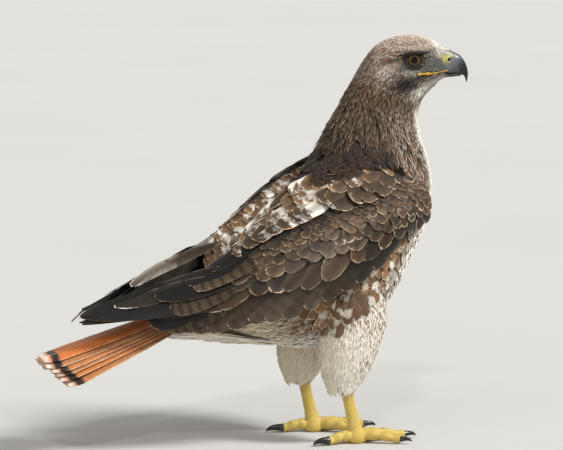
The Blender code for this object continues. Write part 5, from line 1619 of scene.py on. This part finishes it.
class HAWK_OT_wings(bpy.types.Operator):
    """Both folded wings: arm, coverts, scapulars, flight feathers and the hand's long tips"""

    bl_idname = "hawk.wings"
    bl_label = "Wings"
    bl_options = {"REGISTER", "UNDO"}

    def execute(self, context):
        palette = context.scene.hawk_colours
        covert = feather_material("wing_covert", softness=1.3, centre=0.6, root_shade=0.25, vary=0.5)
        flight = feather_material("flight_feather", period=10.0, softness=0.8, roughness=0.55, sheen=0.02,
                                  root_shade=0.5, vary=0.5, edge_from=(0.78, 0.97, 0.16))
        for side, hand in HANDS:
            self.arm(side, hand, palette)
            self.coverts(side, hand, palette, covert)
            self.scapulars(side, hand, palette, covert)
            self.quills(side, hand, palette, flight)
        return {"FINISHED"}

    def arm(self, side, hand, palette):
        """The core under the coverts, in the mantle's colour darkened as painted shade."""
        u, v = np.linspace(0.0, 6.3, 50), np.linspace(0.0, 4.35, 30)
        grid_u, grid_v = np.meshgrid(u, v, indexing="ij")
        points, normals, _, _ = framed(wing_place, grid_u, grid_v)
        depth = np.interp(v, CORE_ROWS[:, 0], CORE_ROWS[:, 2])[None, :, None]
        full = np.outer(np.interp(u, *CORE_COLUMNS.T), np.interp(v, CORE_ROWS[:, 0], CORE_ROWS[:, 1]))
        outer = points - normals * depth
        inner = outer - normals * (1.0 + full[..., None] * (WING_THICKNESS - depth))
        rings = [np.concatenate([top, low[::-1]]) for top, low in zip(outer, inner)]
        points, faces = lofted(rings)
        arm = solid(f"wing_{hand}_arm", sided(points, side), faces)
        # Painted shade: the core takes the mantle's colour at 0.6 of its brightness, as the shade under the
        # coverts.
        store(arm.data, "ground", "FLOAT_COLOR",
              np.broadcast_to((*(c * 0.6 for c in palette.mantle), 1.0), (len(points), 4)))
        placed(arm, skin_material(), f"wing_{hand}", slot="wing_brown")

    def coverts(self, side, hand, palette, material):
        """Rows of coverts from the wrist to the rear, smallest by the leading edge."""
        coat = Coat(f"wing_{hand}_coverts", 41)

        def look_of(kind):
            darkness, fringe_width, contrast = COVERT_KINDS[kind]

            def look(u, v, rng):
                count = len(u)
                # Painted sheen: coverts in the middle of the wing are blended towards grey.
                grey = bump(u, 2.7, 0.8) * bump(v, 2.6, 0.6)
                # Painted shadow: coverts in the groove under the scapulars' lower edge are darker, and their
                # fringes fainter.
                groove = bump(v, 1.1, 0.28) * soft(u, 0.7, 1.3)
                warm = rng.uniform(0, 1, count)
                ground = mixed(palette.covert, palette.mantle, darkness + 0 * u)
                ground = mixed(ground, palette.flank, 0.35 * (warm < 0.3))
                ground = mixed(ground, palette.bloom, 0.38 * grey)
                ground = ground * rng.uniform(0.58, 1.25, (count, 1)) * (1 - 0.72 * groove[:, None])
                fringe = mixed(palette.covert_edge, palette.rufous, np.where(warm > 0.75, 0.6, 0.05))
                strength = rng.uniform(0.3, 1.0, count) * contrast
                fringe = mixed(ground, fringe, strength * (1 - 0.7 * groove))
                return painted(count, ground, ground * 0.9, fringe, 0.85, -1.0,
                               fringe_width * rng.uniform(0.6, 1.5, count))

            return look

        for kind, count, columns, rows, shift, drop, width, lift in WING_ROWS:
            wing_row(coat, count, columns, rows, shift, drop, width, lift, look_of(kind), ROUND, side,
                     crowd=1.3)
        coat.made(material, slot="wing_brown")

    def scapulars(self, side, hand, palette, material):
        """Broad shoulder feathers with white patches, over the wing's upper edge."""
        coat = Coat(f"wing_{hand}_scapulars", 51)

        def look(u, v, rng):
            count = len(u)
            chance = rng.uniform(0, 1, count)
            rear = soft(u, 1.4, 2.6)
            patched = chance < 0.03 + 0.62 * rear
            ground = mixed(palette.covert, palette.flank, 0.7 * rng.uniform(0, 1, count))
            ground = mixed(ground, palette.mantle, 0.7 * soft(v, 0.1, 0.6))
            ground = ground * rng.uniform(0.75, 1.25, (count, 1))
            fringe = mixed(palette.covert_edge, palette.rufous, 0.6 * rng.uniform(0, 1, count))
            pale = mixed(palette.white, palette.neck_edge, 0.25 * rng.uniform(0, 1, count))
            inner = np.where(patched[:, None], pale, ground)
            reach = np.where(patched, rng.uniform(0.7, 0.86, count), -1.0)
            return painted(count, ground, inner, fringe, 0.75, reach, rng.uniform(0.8, 1.8, count))

        for count, columns, places, shift, drop, width, lift in SCAPULAR_ROWS:
            wing_row(coat, count, columns, places, shift, drop, width, lift, look, ROUND, side, tilt=0.05)

        def cape(u, v, rng):
            count = len(u)
            ground = mixed(palette.mantle, palette.neck, 0.35 * rng.uniform(0, 1, count))
            ground = ground * rng.uniform(0.55, 1.1, (count, 1))
            fringe = mixed(ground, palette.rufous, 0.55 * rng.uniform(0, 1, count))
            return painted(count, ground, ground, fringe, 0.8, -1.0, 1.0)

        # Only the right side has the cape; on the left it would make the back's outline lumpy.
        for row in range(CAPE_ROWS if side < 0 else 0):
            wing_row(coat, 20, (0.35, 2.9), (0.1 - 0.13 * row,) * 2, (0.42, 0.4), (0.24, 0.2), 9.0,
                     (-3.0, 1.0 + 0.2 * row, 2.4), cape, SOFT, side)
        for row, q in enumerate(BACK_ROWS):
            wing_row(coat, 17, (1.0, 6.7 - 0.22 * row), (q, q), (0.75, 0.8), (0.05, 0.1), 15.0,
                     (-3.5, -0.6, 0.8 + 0.2 * row), look, ROUND, side, tilt=0.03, place=back_place)
        coat.made(material, slot="wing_brown")

    def quills(self, side, hand, palette, material):
        """Secondaries, tertials and primaries."""
        coat = Coat(f"wing_{hand}_quills", 61)

        def secondary(u, v, rng):
            count = len(u)
            # Painted sheen: secondaries in the middle of the wing are blended towards grey.
            ground = mixed(palette.secondary, palette.bloom, 0.3 * bump(u, 2.6, 1.0))
            ground = mixed(palette.primary, ground, 0.25 + 0.75 * soft(u, 0.9, 1.9))
            ground = ground * rng.uniform(0.75, 1.2, (count, 1))
            return painted(count, ground, ground, palette.covert_edge, 0.7, -1.0, 0.9, 0.35)

        def tertial(tone):
            edge = palette.white if tone == "bloom" else palette.neck_edge

            def look(u, v, rng):
                ground = getattr(palette, tone)
                return painted(1, ground, ground, edge, 0.5, -1.0, 1.3, 0.85 if tone == "secondary" else 0.0)

            return look

        def hand_edge(u, v, rng):
            return painted(1, palette.primary, palette.primary, palette.neck_edge, 0.3, -1.0, 0.6)

        wing_row(coat, 15, (0.75, 5.15), (3.45, 3.35), (0.25, 1.7), (1.5, 1.55), 24.0, (-5.0, -3.2, -1.4),
                 secondary, FLIGHT, side, tilt=0.08, camber=1.0, jitter=0.02)
        for index, (root, tip) in enumerate(HAND_EDGES):
            wing_feather(coat, root, tip, 13.0, (-5.0, -3.6 + 0.3 * index, -2.4), hand_edge, side)
        for index, (root, tip, tone) in enumerate(TERTIALS):
            if side > 0 and index >= len(TERTIALS) - PALE_TERTIALS:
                tone = "bloom"
            lift = (-5.0, 0.2 + 0.4 * index, 0.6 + 0.5 * index)
            wing_feather(coat, root, tip, 23.0, lift, tertial(tone), side, tilt=0.06, camber=1.1)
        if side > 0:
            stations = FLIGHT[0][:, None]
            centre = (FAR_RIM[0] * (1 - stations) + FAR_RIM[1] * stations)[None]
            normals = np.broadcast_to(unit(FAR_RIM[2]), centre.shape)
            rim = painted(1, palette.bloom, palette.secondary, palette.white, 0.8, 0.5, 1.2)
            coat.add(centre, normals, FAR_RIM_WIDTH, FLIGHT, rim, np.array([[0.9, 0.94]]), 0.03, camber=0.9,
                     curve=0.004, columns=7, ragged=0.05, carried=Carried(side))
        self.primaries(coat, side, palette)
        coat.made(material, slot="wing_brown")

    def primaries(self, coat, side, palette):
        """The long feathers of the hand, from under the secondaries to the wing's tip."""
        tips = np.concatenate([PRIMARY_TIPS, INNER_TIPS[side]])
        for index, tip in enumerate(tips):
            inner = index >= len(PRIMARY_TIPS)
            share = min(index / (len(PRIMARY_TIPS) - 1), 1.0)
            shape = POINTED if index < POINTED_PRIMARIES else FLIGHT
            stations = shape[0][:, None]
            root = INNER_ROOT if inner else PRIMARY_ROOTS[0] * (1 - share) + PRIMARY_ROOTS[1] * share
            centre = (root + (tip - root) * stations)[None]
            normals = unit(PRIMARY_FACING[0] * (1 - stations) + PRIMARY_FACING[1] * stations)[None]
            long = index < POINTED_PRIMARIES or inner
            dark = mixed(palette.primary, palette.secondary, np.array([0.0 if long else 0.2]))
            edge = palette.flank if long else palette.white
            pale = inner and side > 0
            base = mixed(dark, palette.bloom, 0.85 if pale else 0.0)
            look = painted(1, dark, base, edge, 0.3, 0.5 if pale else -1.0, 0.4 if long else 1.6)
            spots = np.array([[0.05 + 0.09 * index, 0.06]])
            width = INNER_WIDTH if inner else PRIMARY_WIDTH
            coat.add(centre, normals, width, shape, look, spots, 0.03, camber=0.9, tilt=0.03, curve=0.004,
                     columns=7, ragged=0.03, carried=Carried(side))


class HAWK_OT_tail(bpy.types.Operator):
    """Twelve tail feathers in their stack, with the coverts over and under their roots"""

    bl_idname = "hawk.tail"
    bl_label = "Tail"
    bl_options = {"REGISTER", "UNDO"}

    def execute(self, context):
        palette = context.scene.hawk_colours
        coat = Coat("tail_feathers", 71)
        stations = RECTRIX[0]
        for pair in range(TAIL_PAIRS):
            for hand in (-1, 1):
                level = -TAIL_LAYER * (2 * pair + (hand > 0)) + 1.2 * (pair == 0)
                tip = hand * (2.5 + pair * TAIL_TIP_SPACING + coat.rng.uniform(-1.2, 1.2))
                root = hand * 0.9 * (pair + 0.67)
                length = TAIL_LENGTH - TAIL_START - TAIL_SHORTER * pair**2 - coat.rng.uniform(0.0, 3.0)
                lateral = root + (tip - root) * stations
                distance = TAIL_START + length * stations
                centre = tail_place(distance, lateral, level)[None]
                normals = unit(tail_place(distance, lateral, level + 1.0) - centre[0])[None]
                ground = mixed(palette.tail, palette.tail_side, np.array([TAIL_DULL[pair]]))
                edge = mixed(ground, palette.cream, 0.45)
                look = painted(1, ground, ground, edge, 0.0, -1.0, 0.4 if pair == 0 else 0.8)
                spots = np.array([[0.12 + 0.15 * pair, 0.25 if hand > 0 else 0.7]])
                coat.add(centre, normals, TAIL_WIDTH, RECTRIX, look, spots, 0.1, camber=0.9, curve=0.011,
                         columns=9, ragged=0.045)
        coat.made(tail_material(palette), "tail", slot="tail_red")
        self.coverts(palette)
        return {"FINISHED"}

    def coverts(self, palette):
        """Soft coverts over the tail's root, and long cream ones under it."""
        coat = Coat("tail_coverts", 73)
        rng = coat.rng
        for row, (start, length, level, count) in enumerate(TAIL_COVERTS):
            lateral = np.linspace(-14.0, 14.0, count)[:, None] * (0.9 + 0.1 * SOFT[0])
            distance = start + length * SOFT[0][None] + rng.uniform(-3, 3, (count, 1))
            rise = level - 5.0 * (1 - SOFT[0]) - 0.6 * row * SOFT[0]
            centre = tail_place(distance, lateral, rise[None] + 0 * lateral)
            normals = unit(tail_place(distance, lateral, rise[None] + 1.0 + 0 * lateral) - centre)
            ground = mixed(palette.tail, palette.flank, rng.uniform(0.2, 0.8, count))
            look = painted(count, ground, palette.white, palette.white, 0.3, 0.3, 1.2, 0.4)
            spots = np.stack([0.1 + 0.8 * np.linspace(0, 1, count), np.full(count, 0.8 + 0.07 * row)], axis=1)
            coat.add(centre, normals, 15.0, SOFT, look, spots, 0.02, camber=0.8, curve=0.02, ragged=0.1)
        count = UNDERTAIL_COUNT
        for row in range(UNDERTAIL_ROWS):
            share = np.linspace(-1.0, 1.0, count)[:, None] + rng.uniform(-0.06, 0.06, (count, 1))
            x = 14.0 - 4.6 * row + rng.uniform(-6, 6, (count, 1))
            length = 32.0 + 1.4 * row
            t = WISP[0][None]
            back = 0.56 * row
            y = share * (22.0 - 0.9 * back) * (1.0 - 0.35 * t)
            z = 95.4 + 1.15 * back + 4.5 * share**2 * (1 + 0.1 * back)
            z = z + 0.12 * length * t - 3.0 * (1 - t) + 2.5 * t
            z = z - rng.uniform(0.0, 3.4, (count, 1)) * t**2
            centre = np.stack([x - length * t + 0 * y, y, z - 4.0 * t], axis=-1)
            normals = np.broadcast_to(unit(np.concatenate(
                [0 * share + 0.12, 0.55 * share, 0 * share - 1.0], axis=1))[:, None], centre.shape)
            ground = mixed(palette.cream, palette.white, rng.uniform(0.2, 0.9, count))
            look = painted(count, ground, ground, palette.white, 0.0, -1.0, 0.8)
            level = np.full(count, 0.05 + 0.04 * row)
            spots = np.stack([0.1 + 0.8 * np.linspace(0, 1, count), level], axis=1)
            coat.add(centre, normals, 4.0, WISP, look, spots, 0.01, camber=0.4, curve=0.03, columns=3,
                     ragged=0.25)
        material = feather_material("tail_covert", softness=1.2, centre=0.2, root_shade=0.9, vary=0.15)
        coat.made(material, slot="breast_brown")


def tube(path, radii, sides, heading):
    """Rings round a path in the upright plane of a heading, each square to the path."""
    path = np.asarray(path, float)
    along = unit(np.gradient(path, axis=0))
    across = np.array([heading[1], -heading[0], 0.0])
    turns = circle(sides)
    rings = []
    for centre, radius, direction in zip(path, radii, along):
        up = np.cross(across, direction)
        rings.append(
            centre + np.outer(radius * np.cos(turns), across) + np.outer(radius * np.sin(turns), up))
    return rings


class HAWK_OT_feet(bpy.types.Operator):
    """Scaly shanks and toes, and black claws"""

    bl_idname = "hawk.feet"
    bl_label = "Feet"
    bl_options = {"REGISTER", "UNDO"}

    def execute(self, context):
        palette = context.scene.hawk_colours
        scaly = bare_material("scaly_skin", palette.leg, srgb(120, 92, 40), 620.0)
        horn = horn_material("claw_horn", srgb(60, 58, 60), palette.horn, (0.0, 0.35), 0.25)
        for side, hand in HANDS:
            placed(self.shank(side, hand), scaly, f"tarsus_{hand}", slot="skin_yellow")
            ground = np.array([FOOT_CENTRE[0], 0.0, 0.0]) + leg_shift(side)
            turns = circle(32)
            pad = []
            for height, radius in PAD_RINGS:
                pad.append(ground + np.stack([
                    1.05 * radius * np.cos(turns) - 0.06 * height, 0.95 * radius * np.sin(turns),
                    height + 0 * turns], axis=-1))
            foot = solid(f"foot_{hand}_skin", *lofted(pad))
            toes = []
            for toe, (heading, length, radius, claw) in TOES.items():
                angle = math.radians(heading) * side
                ahead = np.array([math.cos(angle), math.sin(angle), 0.0])
                toes.append(self.toe(ground, ahead, length, radius))
                tip = ground + ahead * (TOE_START + length) + (0, 0, CLAW_HEIGHT)
                self.claw(f"claw_{hand}_{toe}", tip, ahead, claw, horn)
            placed(fused(foot, toes), scaly, f"foot_{hand}", slot="skin_yellow")
        return {"FINISHED"}

    def shank(self, side, hand):
        """The shank, with a ladder of scutes down its front."""
        top = np.array([ANKLE[0], 0.0, ANKLE[1] + 8.0]) + leg_shift(side)
        bottom = np.array([FOOT_CENTRE[0] - 1.0, 0.0, FOOT_CENTRE[1] - 2.0]) + leg_shift(side)
        turns = circle(40)
        rings = []
        for share in np.linspace(0.0, 1.0, 90):
            centre = top + (bottom - top) * share
            radius = np.interp(share, TARSUS_STATIONS, TARSUS_RADII)
            front = soft(np.cos(turns), 0.35, 0.7)
            scute = 0.6 * ((share * SHANK_SCUTES) % 1.0) ** 0.5 * front
            scute = scute + 0.15 * np.sin(turns * 9 + share * 60) * (1 - front)
            rings.append(np.stack([
                centre[0] + (radius * 1.12 + scute) * np.cos(turns),
                centre[1] + (radius * 0.9 + scute) * np.sin(turns), centre[2] + 0 * turns], axis=-1))
        return solid(f"shank_{hand}", *lofted(rings))

    def toe(self, ground, ahead, length, radius):
        """One toe with pads below and scutes above."""
        path, radii = [], []
        shares = np.linspace(0.0, 1.0, 60)
        for share in shares:
            rise = 5.6 + 2.2 * math.sin(math.pi * min(share * 1.15, 1.0)) - 1.2 * share
            path.append(ground + ahead * (TOE_START + length * share) + (0.0, 0.0, rise))
            knob = 0.5 + 0.5 * math.cos(2 * math.pi * share * 3)
            radii.append(radius * (1.16 - 0.3 * share) * (0.86 + 0.2 * knob))
        rings = tube(path, radii, 24, ahead)
        turns = circle(24)
        for ring, centre, share in zip(rings, path, shares):
            ladder = 0.35 * ((share * length / TOE_SCUTE) % 1.0) ** 0.5 * soft(np.sin(turns), 0.2, 0.7)
            ring += unit(ring - centre) * ladder[:, None]
        points, faces = lofted(rings)
        points[:, 2] = np.maximum(points[:, 2], 0.0)
        return solid("toe", points, faces)

    def claw(self, node, tip, ahead, length, material):
        """One curved claw."""
        path, radii = [], []
        for share in np.linspace(0.0, 1.0, CLAW_RINGS):
            bend = CLAW_BEND * share
            reach = 0.64 * length * math.sin(bend)
            rise = 1.6 * math.sin(2.2 * share) - 0.19 * length * (1 - math.cos(bend))
            path.append(tip + ahead * (reach - 0.4) + (0.0, 0.0, rise))
            radii.append(CLAW_RADIUS * (1 - share) ** 0.8 * length / 24.0 + 0.3)
        points, faces = lofted(tube(path, radii, CLAW_SIDES, ahead))
        piece = solid(node.replace("claw", "talon"), points, faces)
        grow = np.concatenate([np.repeat(np.linspace(0, 1, CLAW_RINGS), CLAW_SIDES), [0, 1]])
        store(piece.data, "grow", "FLOAT", grow)
        placed(piece, material, node, slot="horn_black")


class HAWK_OT_stage(bpy.types.Operator):
    """Pale floor, soft lights and the camera"""

    bl_idname = "hawk.stage"
    bl_label = "Stage"
    bl_options = {"REGISTER", "UNDO"}

    def execute(self, context):
        sizes = context.scene.hawk_sizes
        floor = linked("floor", bpy.data.meshes.new("floor"))
        corners = [(FLOOR_HALF * x, FLOOR_HALF * y, 0) for x, y in ((-1, -1), (1, -1), (1, 1), (-1, 1))]
        floor.data.from_pydata(corners, [], [(0, 1, 2, 3)])
        tree = Tree("floor", 0.9, 0.1)
        cloud = tree.noise(tree.place(), 3.0, 3.0)
        tree.set("Base Color", tree.mix(cloud, *FLOOR_TONES))
        floor.data.materials.append(tree.material)
        floor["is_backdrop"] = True

        world = bpy.context.scene.world or bpy.data.worlds.new("World")
        bpy.context.scene.world = world
        world.use_nodes = True
        background = world.node_tree.nodes["Background"]
        background.inputs["Color"].default_value = SKY_TONE
        background.inputs["Strength"].default_value = SKY_STRENGTH
        bpy.context.scene.view_settings.view_transform = "Standard"

        for name, towards, spread, strength in LAMPS:
            light = bpy.data.lights.new(name, "SUN")
            light.angle = math.radians(spread)
            light.energy = strength
            linked(name, light).rotation_euler = Vector(towards).to_track_quat("-Z", "Y").to_euler()

        look = Vector((
            math.sin(VIEW_AZIMUTH) * math.cos(VIEW_ELEVATION),
            math.cos(VIEW_AZIMUTH) * math.cos(VIEW_ELEVATION), -math.sin(VIEW_ELEVATION)))
        right = look.cross(Vector((0.0, 0.0, 1.0))).normalized()
        up = right.cross(look)
        middle = (PICTURE_CENTRE[0] * right + PICTURE_CENTRE[1] * up) * sizes.pixel
        centre = Vector(ORIGIN_SHIFT) * MM + middle
        data = bpy.data.cameras.new("camera")
        camera = linked("camera", data)
        camera.matrix_world = Matrix((
            (right.x, up.x, -look.x, 0), (right.y, up.y, -look.y, 0), (right.z, up.z, -look.z, 0),
            (0, 0, 0, 1)))
        camera.location = centre - look * sizes.camera_distance
        data.sensor_width = SENSOR_WIDTH
        data.lens = SENSOR_WIDTH * sizes.camera_distance / (PICTURE_WIDTH * sizes.pixel)
        data.clip_end = 100.0
        bpy.context.scene.camera = camera
        return {"FINISHED"}


BUILDERS = (HAWK_OT_skin, HAWK_OT_eyes, HAWK_OT_bill, HAWK_OT_head, HAWK_OT_body, HAWK_OT_thighs,
            HAWK_OT_wings, HAWK_OT_tail, HAWK_OT_feet, HAWK_OT_stage)


class HAWK_PT_panel(bpy.types.Panel):
    """Lists the operators and what can be changed"""

    bl_label = "Standing hawk"
    bl_idname = "HAWK_PT_panel"
    bl_space_type = "VIEW_3D"
    bl_region_type = "UI"
    bl_category = "Hawk"

    def draw(self, context):
        for builder in BUILDERS:
            self.layout.operator(builder.bl_idname)
        for group in (context.scene.hawk_sizes, context.scene.hawk_colours):
            box = self.layout.box()
            for name in group.__annotations__:
                box.prop(group, name)


CLASSES = (HawkColours, HawkSizes, *BUILDERS, HAWK_PT_panel)


def register():
    """Makes the operators, settings and panel known."""
    for item in CLASSES:
        bpy.utils.register_class(item)
    bpy.types.Scene.hawk_colours = bpy.props.PointerProperty(type=HawkColours)
    bpy.types.Scene.hawk_sizes = bpy.props.PointerProperty(type=HawkSizes)


def unregister():
    """Takes them away again."""
    del bpy.types.Scene.hawk_sizes
    del bpy.types.Scene.hawk_colours
    for item in reversed(CLASSES):
        bpy.utils.unregister_class(item)


def main():
    """Builds the whole bird and gathers the corners of its box and of the frame's."""
    register()
    for builder in BUILDERS:
        group, name = builder.bl_idname.split(".")
        getattr(getattr(bpy.ops, group), name)()
    corners = [list(corner) for box in (CAD_BOX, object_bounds()) for corner in box]


if __name__ == "__main__":
    main()
